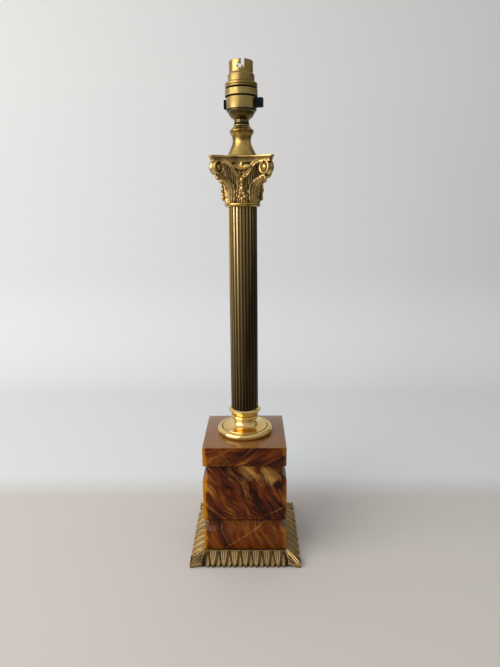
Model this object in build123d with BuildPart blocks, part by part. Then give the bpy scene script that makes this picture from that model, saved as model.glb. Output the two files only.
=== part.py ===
from build123d import *
from math import cos, hypot, radians, sin, sqrt
import os

# Column table lamp, millimetres, +Z up, origin on the table under the lamp's axis, front towards -Y.

# ---------------------------------------------------------------- driving sizes
# foot
pad_thickness = 1.2
pad_corner = 8.0
pad_land = 1.6
foot_height = 11.4
plate_size = 99.5
plate_lip = 0.7
plate_thickness = 3.0
apron_size = 130.0
rim_height = 1.2
foot_wall = 3.4
leaf_count = 7
leaf_pitch = 12.8
leaf_half_width = 5.95
leaf_root_half_width = 5.75
leaf_shoulder = 0.56
leaf_fullness = 0.62
leaf_overhang = 1.6
leaf_relief = 1.1
leaf_depth = 1.7
dart_half_width = 2.2
dart_start = 0.46
dart_end = 0.96
dart_relief = 0.5
rib_widest = 0.4
corner_leaf_overhang = 1.1
corner_leaf_tip_z = 3.2
corner_leaf_half_width = 7.6
corner_leaf_root_half_width = 2.4
corner_leaf_shoulder = 0.68
corner_leaf_thickness = 2.6
midrib_half_width = 0.7
midrib_start = 0.05
midrib_end = 0.92
midrib_relief = 0.6

# cord outlet in the back of the foot
cord_bore_radius = 3.2
bush_wall = 0.8
bush_flange = 0.8
bush_flange_thickness = 1.5
boss_wall = 1.1
boss_lift = 0.1
boss_proud = 0.4
boss_inset = 2.0

# stone
gasket_thickness = 1.0
gasket_margin = 0.6
block_width = 98.0
lower_block_shoulder = 29.0
lower_block_chamfer = 5.0
lower_block_height = 39.4
die_shoulder = 55.6
die_chamfer = 4.6
die_height = 68.6
slab_inset = 0.8
slab_height = 23.3
slab_edge = 0.5
stone_bore_radius = 7.0

# threaded tie rod and its fixing
rod_radius = 5.0
rod_bore_radius = 3.6
rod_clearance = 0.3
thread_clearance = 0.05
rod_tail = 0.4
rod_entry = 3.0
base_nut_width = 17.0
base_nut_height = 3.0
base_washer_radius = 12.0
base_washer_thickness = 1.2

# round base and collar under the column
dish_radius = 33.65
dish_roll_radius = 4.0
dish_edge_radius = 27.0
dish_edge_rise = 0.4
dish_groove_width = 1.5
dish_groove_depth = 1.0
dish_neck_rise = 8.0
dish_sweep_share = 0.2
dish_sweep_rise = 2.2
dish_sweep_wall = 1.8
dish_lip_height = 1.0
dish_web = 3.0
dish_neck_radius = 14.0
dish_height = 18.6
dish_top_radius = 15.0
spun_wall = 2.0
collar_height = 13.3
collar_foot_radius = 15.6
collar_bead_radius = 16.9
collar_bead_height = 4.2
collar_bead_land = 1.5
collar_throat = 0.5
collar_flare = 1.8
collar_flare_share = 0.62
collar_rim_drop = 2.6
collar_rim_edge = 1.1
collar_rim_land = 1.1
collar_rim_radius = 19.6
collar_mouth_land = 0.2
collar_floor = 6.5

# column
column_radius = 16.25
column_bore_radius = 14.0
column_length = 247.0
flute_count = 26
flute_radius = 1.55
flute_depth = 0.85
flute_phase = 6.2
column_clearance = 0.1
disc_thickness = 5.0

# capital
capital_height = 52.1
capital_socket = 3.5
capital_ledge = 1.0
capital_wall = 3.5
astragal_radius = 20.0
astragal_bulge = 1.2
astragal_height = 5.0
bell_foot_radius = 17.6
bell_waist_radius = 18.2
bell_waist_share = 0.4
bell_flare = 2.4
bell_flare_share = 0.75
bell_lip_radius = 23.4
abacus_height = 6.6
abacus_fillet_height = 2.0
abacus_fillet_step = 0.8
abacus_corner_reach = 46.0
abacus_corner_width = 5.0
abacus_side_reach = 26.8
abacus_cavetto = 3.2
scroll_inset = 9.7
scroll_drop = 5.5
scroll_radius = 7.8
scroll_width = 8.6
scroll_band = 2.0
scroll_channel_width = 1.1
scroll_channel_depth = 0.9
scroll_eye_radius = 1.9
scroll_eye_height = 0.5
stalk_half = 1.2
stalk_span = 24.0
stalk_rise = 15.4
stalk_foot_drop = 8.9
stalk_stand_off = 3.4
fleuron_petal_length = 8.4
fleuron_petal_half_width = 2.1
fleuron_petal_root = 0.5
fleuron_overlap = 0.6
fleuron_spread = 52.0
fleuron_proud = 1.2
husk_count = 5
husk_pitch = 3.5
pendant_reach = 23.0
corner_leaf_tip_reach = 30.5
corner_leaf_height = 29.0
corner_acanthus_half_width = 8.5
face_leaf_tip_reach = 22.6
face_leaf_height = 18.5
face_acanthus_half_width = 7.2
acanthus_thickness = 2.2

# vase neck
vase_height = 33.5
vase_foot_radius = 17.4
vase_foot_height = 0.8
vase_skirt_bulge = 1.95
vase_skirt_drop = 6.6
vase_waist_radius = 9.9
vase_waist_height = 17.6
vase_bead_radius = 13.2
vase_bead_height = 27.2
vase_bead_half_height = 1.6
vase_bead_root = 0.5
vase_rise_bulge = 0.75
vase_rise_height = 4.1
vase_crown_bulge = 1.7
vase_crown_height = 3.8
vase_top_radius = 8.8
vase_web = 4.0

# lampholder: cap, body and rings
washer_radius = 8.2
washer_thickness = 1.9
cap_entry_radius = 8.0
cap_entry_height = 3.6
cap_radius = 16.0
cap_dome_radius = 14.45
cap_dome_height = 7.0
cap_dome_bulge = 2.1
cap_dome_share = 0.47
cap_dome_wall = 0.9
cap_rim_height = 1.6
cap_height = 13.0
cap_seat_radius = 13.2
cap_floor = 1.3
switch_radius = 16.15
switch_wall = 1.2
switch_height = 12.1
spigot_radius = 15.3
spigot_height = 5.0
ring_gap = 1.2
union_radius = 17.6
union_height = 7.0
union_bevel = 0.4
shade_ring_radius = 17.3
shade_ring_step_radius = 16.5
shade_ring_height = 5.8
shade_ring_gap = 1.3
shade_ring_groove = 1.0
shade_ring_bevel = 1.2
turn_clearance = 0.1
flange_clearance = 0.1
barrel_radius = 14.25
barrel_thread_radius = 13.85
barrel_wall = 1.5
barrel_flange_thickness = 1.0
barrel_lower_height = 17.2
shoulder_height = 2.0
barrel_upper_height = 11.7
barrel_rim_chamfer = 0.4
socket_radius = 11.25
slot_width = 3.7
slot_depth = 8.7
slot_run = 4.5
slot_hook = 1.0
slot_azimuth = -81.0

# push-through switch
bar_azimuth = -16.5
bar_height = 9.2
bar_width = 6.6
bar_long_reach = 23.6
bar_short_reach = 19.1
bar_centre_height = 6.8
bar_travel = 4.8
bar_clearance = 0.1
bar_corner = 0.6
bar_stop_length = 7.2
bar_stop_height = 1.5
window_clearance = 0.3
moulding_clearance = 0.3
bridge_length = 14.0
bridge_width = 3.0
bridge_thickness = 0.6
bridge_clearance = 0.1
stud_radius = 1.2
stud_spacing = 11.0
stud_clearance = 0.05

# terminals in the cap
terminal_size = 4.6
terminal_height = 3.6
terminal_offset = 8.2
terminal_screw_radius = 1.3
terminal_screw_length = 3.2
terminal_screw_proud = 0.8
earth_post_radius = 1.8

# sprung contact plungers
plunger_spacing = 11.5
plunger_radius = 1.9
plunger_flange_radius = 2.5
plunger_flange_thickness = 1.2
plunger_clearance = 0.1
plunger_tip_gap = 0.3
plunger_tip_chamfer = 0.5
carrier_clearance = 0.3
carrier_height = 9.6
carrier_roof = 1.2
carrier_floor = 1.2
spring_wire = 0.45
spring_turns = 3.0
spring_clearance = 0.2

os.makedirs("parts", exist_ok=True)

# ---------------------------------------------------------------- heights worked out from the sizes
foot_base_z = pad_thickness
foot_top_z = foot_base_z + foot_height
plate_under_z = foot_top_z - plate_thickness
apron_top_z = foot_top_z - plate_lip
rim_top_z = foot_base_z + rim_height
plinth_z = foot_top_z + gasket_thickness
die_z = plinth_z + lower_block_height
slab_z = die_z + die_height
dish_z = slab_z + slab_height
collar_z = dish_z + dish_height
collar_rim_z = collar_z + collar_height
column_z = collar_z + collar_floor
column_top_z = column_z + column_length
capital_z = column_top_z - capital_socket
capital_top_z = capital_z + capital_height
vase_top_z = capital_top_z + vase_height
cap_z = vase_top_z + washer_thickness
switch_z = cap_z + cap_height
switch_top_z = switch_z + switch_height
spigot_top_z = switch_top_z + spigot_height
union_z = switch_top_z + ring_gap
union_top_z = union_z + union_height
shade_ring_z = union_top_z + shade_ring_gap
flange_top_z = spigot_top_z + barrel_flange_thickness
shoulder_z = spigot_top_z + barrel_lower_height
socket_z = shoulder_z + shoulder_height
barrel_top_z = socket_z + barrel_upper_height

rod_hole_radius = rod_radius + rod_clearance
plate_half = plate_size / 2
apron_half = apron_size / 2
apron_run = apron_half - plate_half
apron_drop = apron_top_z - rim_top_z
apron_slope = hypot(apron_run, apron_drop)
slab_width = block_width - slab_inset


def upright(azimuth, reach=0.0, z=0.0):
    """Vertical plane facing outwards at an azimuth, X to the right along the face, Y up."""
    outward = Vector(cos(radians(azimuth)), sin(radians(azimuth)), 0)
    return Plane(
        origin=outward * reach + Vector(0, 0, z),
        x_dir=Vector(-outward.Y, outward.X, 0),
        z_dir=outward,
    )


def radial(azimuth):
    """Vertical plane through the lamp's axis, X outwards at an azimuth, Y up."""
    outward = Vector(cos(radians(azimuth)), sin(radians(azimuth)), 0)
    return Plane(origin=(0, 0, 0), x_dir=outward, z_dir=Vector(outward.Y, -outward.X, 0))


# ---------------------------------------------------------------- foot
def apron_plane(azimuth):
    """Slope of the apron on one side, X along the side, Y up the slope, origin at its top edge."""
    outward = Vector(cos(radians(azimuth)), sin(radians(azimuth)), 0)
    return Plane(
        origin=outward * plate_half + Vector(0, 0, apron_top_z),
        x_dir=Vector(-outward.Y, outward.X, 0),
        z_dir=outward * apron_drop + Vector(0, 0, apron_run),
    )


sides = [apron_plane(azimuth) for azimuth in (-90, 0, 90, 180)]
leaf_tip = apron_slope + leaf_overhang
cavity_half = apron_half - foot_wall
cavity_top_half = plate_half + apron_run * (apron_top_z - plate_under_z) / apron_drop - foot_wall
bush_radius = cord_bore_radius + bush_wall
boss_hole_radius = bush_radius + thread_clearance
boss_radius = boss_hole_radius + boss_wall
outlet_z = foot_base_z + boss_radius + boss_lift
boss_root_y = cavity_top_half - boss_inset
boss_face_y = apron_half + boss_proud
bush_length = boss_face_y - boss_root_y
corner_root = sqrt(2) * plate_half
corner_run = sqrt(2) * apron_half + corner_leaf_overhang - corner_root
corner_drop = foot_top_z - corner_leaf_tip_z
corner_slope = hypot(corner_run, corner_drop)


def corner_plane(azimuth):
    """Slope of the leaf over one corner of the apron, X across it, Y up it, origin at its root."""
    outward = Vector(cos(radians(azimuth)), sin(radians(azimuth)), 0)
    return Plane(
        origin=outward * corner_root + Vector(0, 0, foot_top_z),
        x_dir=Vector(-outward.Y, outward.X, 0),
        z_dir=outward * corner_drop + Vector(0, 0, corner_run),
    )


corners = [corner_plane(azimuth) for azimuth in (-135, -45, 45, 135)]


def leaf_outline(half_root, half_width, shoulder, length):
    """Leaf hanging from Y = 0, straight down to its shoulders and curved in to its tip, as a sketch."""
    middle = -(1 + shoulder) / 2 * length
    with BuildSketch() as outline:
        with BuildLine():
            flank = Line((half_root, 0), (half_width, -shoulder * length))
            tip = ThreePointArc(flank @ 1, (leaf_fullness * half_width, middle), (0, -length))
            mirror(flank, about=Plane.YZ)
            mirror(tip, about=Plane.YZ)
            Line((half_root, 0), (-half_root, 0))
        make_face()
    return outline.sketch


def rib_outline(half_width, start, end, length):
    """Lozenge along the middle of a leaf between two shares of its length, as a sketch."""
    widest = start + rib_widest * (end - start)
    with BuildSketch() as outline:
        with BuildLine():
            Polyline(
                (0, -start * length),
                (half_width, -widest * length),
                (0, -end * length),
                (-half_width, -widest * length),
                close=True,
            )
        make_face()
    return outline.sketch


lancet = leaf_outline(leaf_root_half_width, leaf_half_width, leaf_shoulder, leaf_tip)
dart = rib_outline(dart_half_width, dart_start, dart_end, leaf_tip)
corner_leaf = leaf_outline(
    corner_leaf_root_half_width, corner_leaf_half_width, corner_leaf_shoulder, corner_slope
)
corner_rib = rib_outline(midrib_half_width, midrib_start, midrib_end, corner_slope)

with BuildPart() as foot_casting:
    with BuildSketch(Plane.XY.offset(foot_base_z)):
        Rectangle(apron_size, apron_size)
    extrude(amount=rim_height)
    with BuildSketch(Plane.XY.offset(rim_top_z)):
        Rectangle(apron_size, apron_size)
    with BuildSketch(Plane.XY.offset(apron_top_z)):
        Rectangle(plate_size, plate_size)
    loft()
    with BuildSketch(Plane.XY.offset(apron_top_z)):
        Rectangle(plate_size, plate_size)
    extrude(amount=plate_lip)
    # upright leaves, and the darts that show between them
    for sketch, copies, relief in ((lancet, leaf_count, leaf_relief), (dart, leaf_count + 1, dart_relief)):
        with BuildSketch(*[side.offset(-leaf_depth) for side in sides]):
            with GridLocations(leaf_pitch, 0, copies, 1):
                add(sketch)
        extrude(amount=relief + leaf_depth)
    # one larger leaf over each corner
    with BuildSketch(*[corner.offset(-corner_leaf_thickness) for corner in corners]):
        add(corner_leaf)
    extrude(amount=corner_leaf_thickness)
    with BuildSketch(*corners):
        add(corner_rib)
    extrude(amount=midrib_relief)
    # boss for the cord, hollow underside, holes
    with BuildSketch(upright(90, boss_root_y, outlet_z)):
        Circle(boss_radius)
    extrude(amount=boss_face_y - boss_root_y)
    with BuildSketch(Plane.XY.offset(foot_base_z)):
        Rectangle(2 * cavity_half, 2 * cavity_half)
    with BuildSketch(Plane.XY.offset(plate_under_z)):
        Rectangle(2 * cavity_top_half, 2 * cavity_top_half)
    loft(mode=Mode.SUBTRACT)
    with BuildSketch(upright(90, boss_root_y, outlet_z)):
        Circle(boss_hole_radius)
    extrude(amount=boss_face_y - boss_root_y, mode=Mode.SUBTRACT)
    with BuildSketch(upright(90, boss_face_y, outlet_z)):
        Circle(bush_radius + bush_flange + thread_clearance)
    extrude(amount=leaf_tip, mode=Mode.SUBTRACT)
    with BuildSketch(Plane.XY.offset(plate_under_z)):
        Circle(rod_hole_radius)
    extrude(amount=plate_thickness, mode=Mode.SUBTRACT)
foot_casting.part.label = "foot_casting"
export_step(foot_casting.part, "parts/foot_casting.step")

with BuildPart() as felt_pad:
    with BuildSketch():
        RectangleRounded(2 * (cavity_half + pad_land), 2 * (cavity_half + pad_land), pad_corner)
    extrude(amount=pad_thickness)
felt_pad.part.label = "felt_pad"
export_step(felt_pad.part, "parts/felt_pad.step")

with BuildPart() as cord_bush:
    with BuildSketch(upright(90, boss_face_y, outlet_z)):
        Circle(bush_radius + bush_flange)
    extrude(amount=bush_flange_thickness)
    with BuildSketch(upright(90, boss_face_y, outlet_z)):
        Circle(bush_radius)
    extrude(amount=-bush_length)
    with BuildSketch(upright(90, boss_face_y + bush_flange_thickness, outlet_z)):
        Circle(cord_bore_radius)
    extrude(amount=-bush_length - bush_flange_thickness, mode=Mode.SUBTRACT)
cord_bush.part.label = "cord_bush"
export_step(cord_bush.part, "parts/cord_bush.step")


# ---------------------------------------------------------------- tie rod and its fixing
nut_top_z = plate_under_z - base_washer_thickness
rod_base_z = nut_top_z - base_nut_height - rod_tail
rod_top_z = cap_z + cap_entry_height + rod_entry

with BuildPart() as tie_rod:
    with BuildSketch(Plane.XY.offset(rod_base_z)):
        Circle(rod_radius)
        Circle(rod_bore_radius, mode=Mode.SUBTRACT)
    extrude(amount=rod_top_z - rod_base_z)
tie_rod.part.label = "tie_rod"
export_step(tie_rod.part, "parts/tie_rod.step")

with BuildPart() as base_washer:
    with BuildSketch(Plane.XY.offset(nut_top_z)):
        Circle(base_washer_radius)
        Circle(rod_hole_radius, mode=Mode.SUBTRACT)
    extrude(amount=base_washer_thickness)
base_washer.part.label = "base_washer"
export_step(base_washer.part, "parts/base_washer.step")

with BuildPart() as base_nut:
    with BuildSketch(Plane.XY.offset(nut_top_z - base_nut_height)):
        RegularPolygon(base_nut_width / 2, 6, major_radius=False)
        Circle(rod_radius + thread_clearance, mode=Mode.SUBTRACT)
    extrude(amount=base_nut_height)
base_nut.part.label = "base_nut"
export_step(base_nut.part, "parts/base_nut.step")


# ---------------------------------------------------------------- gasket and stone
with BuildPart() as plinth_gasket:
    with BuildSketch(Plane.XY.offset(foot_top_z)):
        Rectangle(block_width - gasket_margin, block_width - gasket_margin)
        Circle(stone_bore_radius, mode=Mode.SUBTRACT)
    extrude(amount=gasket_thickness)
plinth_gasket.part.label = "plinth_gasket"
export_step(plinth_gasket.part, "parts/plinth_gasket.step")


def shouldered_block(base_z, height, shoulder, bevel):
    """Square stone block, bevelled at its shoulder and necked in above it, bored for the rod."""
    with BuildPart() as block:
        with BuildSketch(Plane.XY.offset(base_z)):
            Rectangle(block_width, block_width)
        extrude(amount=shoulder)
        chamfer(block.faces().sort_by(Axis.Z)[-1].edges(), bevel)
        with BuildSketch(Plane.XY.offset(base_z + shoulder)):
            Rectangle(block_width - 2 * bevel, block_width - 2 * bevel)
        extrude(amount=height - shoulder)
        with BuildSketch(Plane.XY.offset(base_z)):
            Circle(stone_bore_radius)
        extrude(amount=height, mode=Mode.SUBTRACT)
    return block


lower_onyx_block = shouldered_block(plinth_z, lower_block_height, lower_block_shoulder, lower_block_chamfer)
lower_onyx_block.part.label = "lower_onyx_block"
export_step(lower_onyx_block.part, "parts/lower_onyx_block.step")

onyx_die = shouldered_block(die_z, die_height, die_shoulder, die_chamfer)
onyx_die.part.label = "onyx_die"
export_step(onyx_die.part, "parts/onyx_die.step")

with BuildPart() as onyx_slab:
    with BuildSketch(Plane.XY.offset(slab_z)):
        Rectangle(slab_width, slab_width)
    extrude(amount=slab_height)
    chamfer(onyx_slab.edges(), slab_edge)
    with BuildSketch(Plane.XY.offset(slab_z)):
        Circle(stone_bore_radius)
    extrude(amount=slab_height, mode=Mode.SUBTRACT)
onyx_slab.part.label = "onyx_slab"
export_step(onyx_slab.part, "parts/onyx_slab.step")


# ---------------------------------------------------------------- column base and collar
roll_centre = dish_radius - dish_roll_radius
dish_edge_z = dish_z + 2 * dish_roll_radius + dish_edge_rise
sweep_radius = dish_neck_radius + dish_sweep_share * (dish_edge_radius - dish_neck_radius)

with BuildPart() as column_base:
    with BuildSketch(Plane.XZ):
        with BuildLine():
            # rolled rim, groove and inner edge
            roll = ThreePointArc(
                (roll_centre, dish_z),
                (dish_radius, dish_z + dish_roll_radius),
                (roll_centre, dish_z + 2 * dish_roll_radius),
            )
            groove = Polyline(
                roll @ 1,
                (dish_edge_radius + dish_groove_width, dish_edge_z - dish_groove_depth),
                (dish_edge_radius + dish_groove_width / 3, dish_edge_z - dish_groove_depth),
                (dish_edge_radius, dish_edge_z),
            )
            # hollow curve up to the neck, and the flared lip of the neck
            sweep_up = ThreePointArc(
                groove @ 1,
                (sweep_radius, dish_edge_z + dish_sweep_rise),
                (dish_neck_radius, dish_edge_z + dish_neck_rise),
            )
            lip = Polyline(
                sweep_up @ 1,
                (dish_top_radius, collar_z - dish_lip_height),
                (dish_top_radius, collar_z),
                (rod_hole_radius, collar_z),
                (rod_hole_radius, collar_z - dish_web),
                (dish_neck_radius - spun_wall, collar_z - dish_web),
                (dish_neck_radius - spun_wall, dish_edge_z + dish_neck_rise - spun_wall),
            )
            Polyline(
                lip @ 1,
                (sweep_radius, dish_edge_z + dish_sweep_rise - dish_sweep_wall),
                (dish_edge_radius, dish_edge_z - spun_wall),
            )
            Polyline(
                (dish_edge_radius, dish_edge_z - spun_wall),
                (dish_edge_radius, dish_z),
                (roll_centre, dish_z),
            )
        make_face()
    revolve(axis=Axis.Z)
column_base.part.label = "column_base"
export_step(column_base.part, "parts/column_base.step")

cup_bore_radius = column_radius + column_clearance
collar_bead_rise = (collar_bead_height - collar_bead_land) / 2
collar_edge_z = collar_rim_z - collar_rim_drop

with BuildPart() as column_collar:
    with BuildSketch(Plane.XZ):
        with BuildLine():
            bead = Polyline(
                (collar_foot_radius, collar_z),
                (collar_bead_radius, collar_z + collar_bead_rise),
                (collar_bead_radius, collar_z + collar_bead_rise + collar_bead_land),
                (collar_foot_radius + collar_throat, collar_z + collar_bead_height),
            )
            flare = ThreePointArc(
                bead @ 1,
                (collar_foot_radius + collar_flare, collar_z + collar_flare_share * collar_height),
                (collar_rim_radius, collar_edge_z),
            )
            Polyline(
                flare @ 1,
                (collar_rim_radius, collar_edge_z + collar_rim_edge),
                (collar_rim_radius - collar_rim_land, collar_edge_z + collar_rim_edge),
                (cup_bore_radius + collar_mouth_land, collar_rim_z),
                (cup_bore_radius, collar_rim_z),
                (cup_bore_radius, column_z),
                (rod_hole_radius, column_z),
                (rod_hole_radius, collar_z),
                (collar_foot_radius, collar_z),
            )
        make_face()
    revolve(axis=Axis.Z)
column_collar.part.label = "column_collar"
export_step(column_collar.part, "parts/column_collar.step")


# ---------------------------------------------------------------- column
with BuildPart() as fluted_column:
    with BuildSketch(Plane.XY.offset(column_z)):
        Circle(column_radius)
        with PolarLocations(column_radius + flute_radius - flute_depth, flute_count, flute_phase):
            Circle(flute_radius, mode=Mode.SUBTRACT)
        Circle(column_bore_radius, mode=Mode.SUBTRACT)
    extrude(amount=column_length)
fluted_column.part.label = "fluted_column"
export_step(fluted_column.part, "parts/fluted_column.step")


# discs that fill the bore of the column at its two ends and hold it true to the rod
with BuildPart() as centring_discs:
    for base_z in (column_z, column_top_z - disc_thickness):
        with BuildSketch(Plane.XY.offset(base_z)):
            Circle(column_bore_radius - column_clearance)
            Circle(rod_hole_radius, mode=Mode.SUBTRACT)
        extrude(amount=disc_thickness)
centring_discs.part.label = "centring_discs"
export_step(centring_discs.part, "parts/centring_discs.step")


# ---------------------------------------------------------------- capital
bell_z = capital_z + astragal_height
abacus_z = capital_top_z - abacus_height
bell_height = abacus_z - bell_z
scroll_reach = abacus_corner_reach - scroll_inset
scroll_z = abacus_z - scroll_drop
stalk_foot_z = scroll_z - stalk_foot_drop
ring_root_radius = astragal_radius - astragal_bulge
capital_bore_radius = column_bore_radius - capital_ledge


def acanthus(height, half_width, tip_reach):
    """Lobed leaf at azimuth 0 that hugs the bell and curls outwards at its tip."""
    root_z = bell_z - astragal_height / 4
    tip_z = bell_z + height
    curl_z = tip_z - 1.6 * acanthus_thickness
    with BuildPart() as leaf:
        with BuildSketch(radial(0)):
            with BuildLine():
                back = ThreePointArc(
                    (bell_foot_radius - 1, root_z),
                    (bell_waist_radius - 0.5, bell_z + 0.5 * height),
                    (tip_reach - acanthus_thickness, tip_z),
                )
                nose = Line(back @ 1, (tip_reach, curl_z))
                front = ThreePointArc(
                    nose @ 1,
                    (bell_waist_radius + acanthus_thickness, bell_z + 0.5 * height),
                    (bell_foot_radius + acanthus_thickness, root_z),
                )
                Line(front @ 1, back @ 0)
            make_face()
        extrude(amount=1.1 * half_width, both=True)
        with BuildSketch(upright(0)):
            with BuildLine():
                lobes = Polyline(
                    (0.7 * half_width, root_z - 1),
                    (half_width, bell_z + 0.14 * height),
                    (0.8 * half_width, bell_z + 0.3 * height),
                    (1.04 * half_width, bell_z + 0.5 * height),
                    (0.7 * half_width, bell_z + 0.62 * height),
                    (0.85 * half_width, bell_z + 0.8 * height),
                    (0.45 * half_width, bell_z + 0.86 * height),
                    (0, bell_z + 1.05 * height),
                )
                mirror(lobes, about=Plane.YZ)
                Line((0.7 * half_width, root_z - 1), (-0.7 * half_width, root_z - 1))
            make_face()
        extrude(amount=2 * tip_reach, mode=Mode.INTERSECT)
    return leaf.part


def half_turns(reaches):
    """Spiral about the origin made of semicircles between reaches on alternate sides."""
    for step, (reach, following) in enumerate(zip(reaches, reaches[1:])):
        side = -1 if step % 2 == 0 else 1
        middle = side * (reach - following) / 2
        ThreePointArc((side * reach, 0), (middle, -side * (reach + following) / 2), (-side * following, 0))


corner_acanthus = acanthus(corner_leaf_height, corner_acanthus_half_width, corner_leaf_tip_reach)
face_acanthus = acanthus(face_leaf_height, face_acanthus_half_width, face_leaf_tip_reach)

# spiral channel in the end of a scroll, one turn
channel_start = scroll_radius - scroll_band
channel_outer = [channel_start * share for share in (1, 0.79, 0.56)]
channel_inner = [reach - scroll_channel_width for reach in channel_outer]
with BuildSketch() as spiral_channel:
    with BuildLine():
        half_turns(channel_outer)
        half_turns(channel_inner)
        Line((-channel_outer[0], 0), (-channel_inner[0], 0))
        Line((-channel_outer[-1], 0), (-channel_inner[-1], 0))
    make_face()

# scroll under one corner of the abacus: a roll with a spiral channel and an eye in each end
with BuildPart() as scroll:
    with BuildSketch(radial(0)):
        with Locations((scroll_reach, scroll_z)):
            Circle(scroll_radius)
    extrude(amount=scroll_width / 2, both=True)
    for end in (-1, 1):
        with BuildSketch(radial(0).offset(end * scroll_width / 2)):
            with Locations((scroll_reach, scroll_z)):
                add(spiral_channel.sketch)
        extrude(amount=-end * scroll_channel_depth, mode=Mode.SUBTRACT)
        with BuildSketch(radial(0).offset(end * scroll_width / 2)):
            with Locations((scroll_reach, scroll_z)):
                Circle(scroll_eye_radius)
        extrude(amount=end * scroll_eye_height)

# two stalks that spring from a V in the middle of one face and run out to its scrolls
with BuildPart() as stalks:
    with BuildSketch(radial(0)):
        with BuildLine():
            Polyline(
                (bell_foot_radius - 1, stalk_foot_z - 2 * stalk_half),
                (bell_waist_radius + stalk_stand_off, stalk_foot_z - 2 * stalk_half),
                (bell_lip_radius - 1, scroll_z + 0.4 * scroll_radius),
                (bell_lip_radius - 1, abacus_z + 1),
                (bell_foot_radius - 1, abacus_z + 1),
                close=True,
            )
        make_face()
    extrude(amount=scroll_reach, both=True)
    with BuildSketch(upright(0, 0, stalk_foot_z)):
        for hand in (-1, 1):
            with BuildLine():
                lower = ThreePointArc(
                    (0, -stalk_half),
                    (hand * 0.3 * stalk_span, 0.15 * stalk_rise),
                    (hand * (0.4 * stalk_span + stalk_half), 0.44 * stalk_rise),
                )
                outer = ThreePointArc(
                    lower @ 1,
                    (hand * 0.64 * stalk_span, 0.82 * stalk_rise),
                    (hand * stalk_span, stalk_rise - stalk_half),
                )
                end = Line(outer @ 1, (hand * stalk_span, stalk_rise + stalk_half))
                inner = ThreePointArc(
                    end @ 1,
                    (hand * 0.54 * stalk_span, 0.96 * stalk_rise),
                    (hand * (0.4 * stalk_span - stalk_half), 0.56 * stalk_rise),
                )
                upper = ThreePointArc(
                    inner @ 1,
                    (hand * 0.18 * stalk_span, 0.2 * stalk_rise),
                    (0, stalk_half),
                )
                Line(upper @ 1, (0, -stalk_half))
            make_face()
    extrude(amount=2 * scroll_reach, mode=Mode.INTERSECT)

# three-petalled fleuron in the middle of one side of the abacus
petal = leaf_outline(fleuron_petal_root, fleuron_petal_half_width, 0.6, fleuron_petal_length)
fleuron_z = abacus_z - fleuron_petal_length + fleuron_overlap

with BuildPart() as fleuron:
    with BuildSketch(upright(0, bell_waist_radius, fleuron_z)):
        for turn in (-fleuron_spread, 0, fleuron_spread):
            with Locations(Location((0, 0, 0), (0, 0, 180 + turn))):
                add(petal)
    extrude(amount=abacus_side_reach + fleuron_proud - bell_waist_radius)

# pendant of husks below the V
with BuildPart() as pendant:
    with BuildSketch(upright(0, bell_foot_radius)):
        with Locations(*[(0, stalk_foot_z - (husk + 0.5) * husk_pitch) for husk in range(husk_count)]):
            RegularPolygon(husk_pitch / 2 + 0.3, 4, rotation=0)
    extrude(amount=pendant_reach - bell_foot_radius)

# plan of the abacus: four hollow sides and four cut corners
cut_near = (abacus_corner_reach - abacus_corner_width / 2) / sqrt(2)
cut_far = (abacus_corner_reach + abacus_corner_width / 2) / sqrt(2)
with BuildSketch() as abacus_plan:
    with BuildLine():
        hollow = ThreePointArc((-cut_near, -cut_far), (0, -abacus_side_reach), (cut_near, -cut_far))
        cut = Line((cut_near, -cut_far), (cut_far, -cut_near))
        for turn in (90, 180, 270):
            add(hollow.rotate(Axis.Z, turn))
            add(cut.rotate(Axis.Z, turn))
    make_face()

with BuildPart() as capital:
    # bell and astragal, socket for the column below, hollow above it
    with BuildSketch(Plane.XZ):
        with BuildLine():
            ring = Polyline(
                (ring_root_radius, capital_z),
                (astragal_radius, capital_z + 0.3 * astragal_height),
                (astragal_radius, capital_z + 0.7 * astragal_height),
                (ring_root_radius, bell_z),
            )
            flank = Polyline(
                ring @ 1,
                (bell_foot_radius, bell_z),
                (bell_waist_radius, bell_z + bell_waist_share * bell_height),
                (bell_waist_radius + bell_flare, bell_z + bell_flare_share * bell_height),
                (bell_lip_radius, abacus_z),
            )
            Polyline(
                flank @ 1,
                (bell_lip_radius, abacus_z + abacus_height / 2),
                (rod_hole_radius, abacus_z + abacus_height / 2),
                (rod_hole_radius, abacus_z - capital_wall),
                (capital_bore_radius, abacus_z - capital_wall),
                (capital_bore_radius, column_top_z),
                (cup_bore_radius, column_top_z),
                (cup_bore_radius, capital_z),
                (ring_root_radius, capital_z),
            )
        make_face()
    revolve(axis=Axis.Z)
    # abacus: a fillet over a slope
    with BuildSketch(Plane.XY.offset(capital_top_z)):
        add(abacus_plan.sketch)
    extrude(amount=-abacus_fillet_height)
    with BuildSketch(Plane.XY.offset(capital_top_z - abacus_fillet_height)):
        offset(abacus_plan.sketch, amount=-abacus_fillet_step, kind=Kind.INTERSECTION)
    with BuildSketch(Plane.XY.offset(abacus_z)):
        offset(abacus_plan.sketch, amount=-abacus_cavetto, kind=Kind.INTERSECTION)
    loft(ruled=True)
    # scrolls and leaves
    with PolarLocations(0, 4, 45):
        add(scroll.part)
        add(corner_acanthus)
    with PolarLocations(0, 4):
        add(face_acanthus)
        add(stalks.part)
        add(fleuron.part)
        add(pendant.part)
    with BuildSketch(Plane.XY.offset(capital_top_z)):
        Circle(rod_hole_radius)
    extrude(amount=-abacus_height, mode=Mode.SUBTRACT)
capital.part.label = "capital"
export_step(capital.part, "parts/capital.step")


# ---------------------------------------------------------------- vase neck and its washer
waist_z = capital_top_z + vase_waist_height
bead_z = capital_top_z + vase_bead_height

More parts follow.
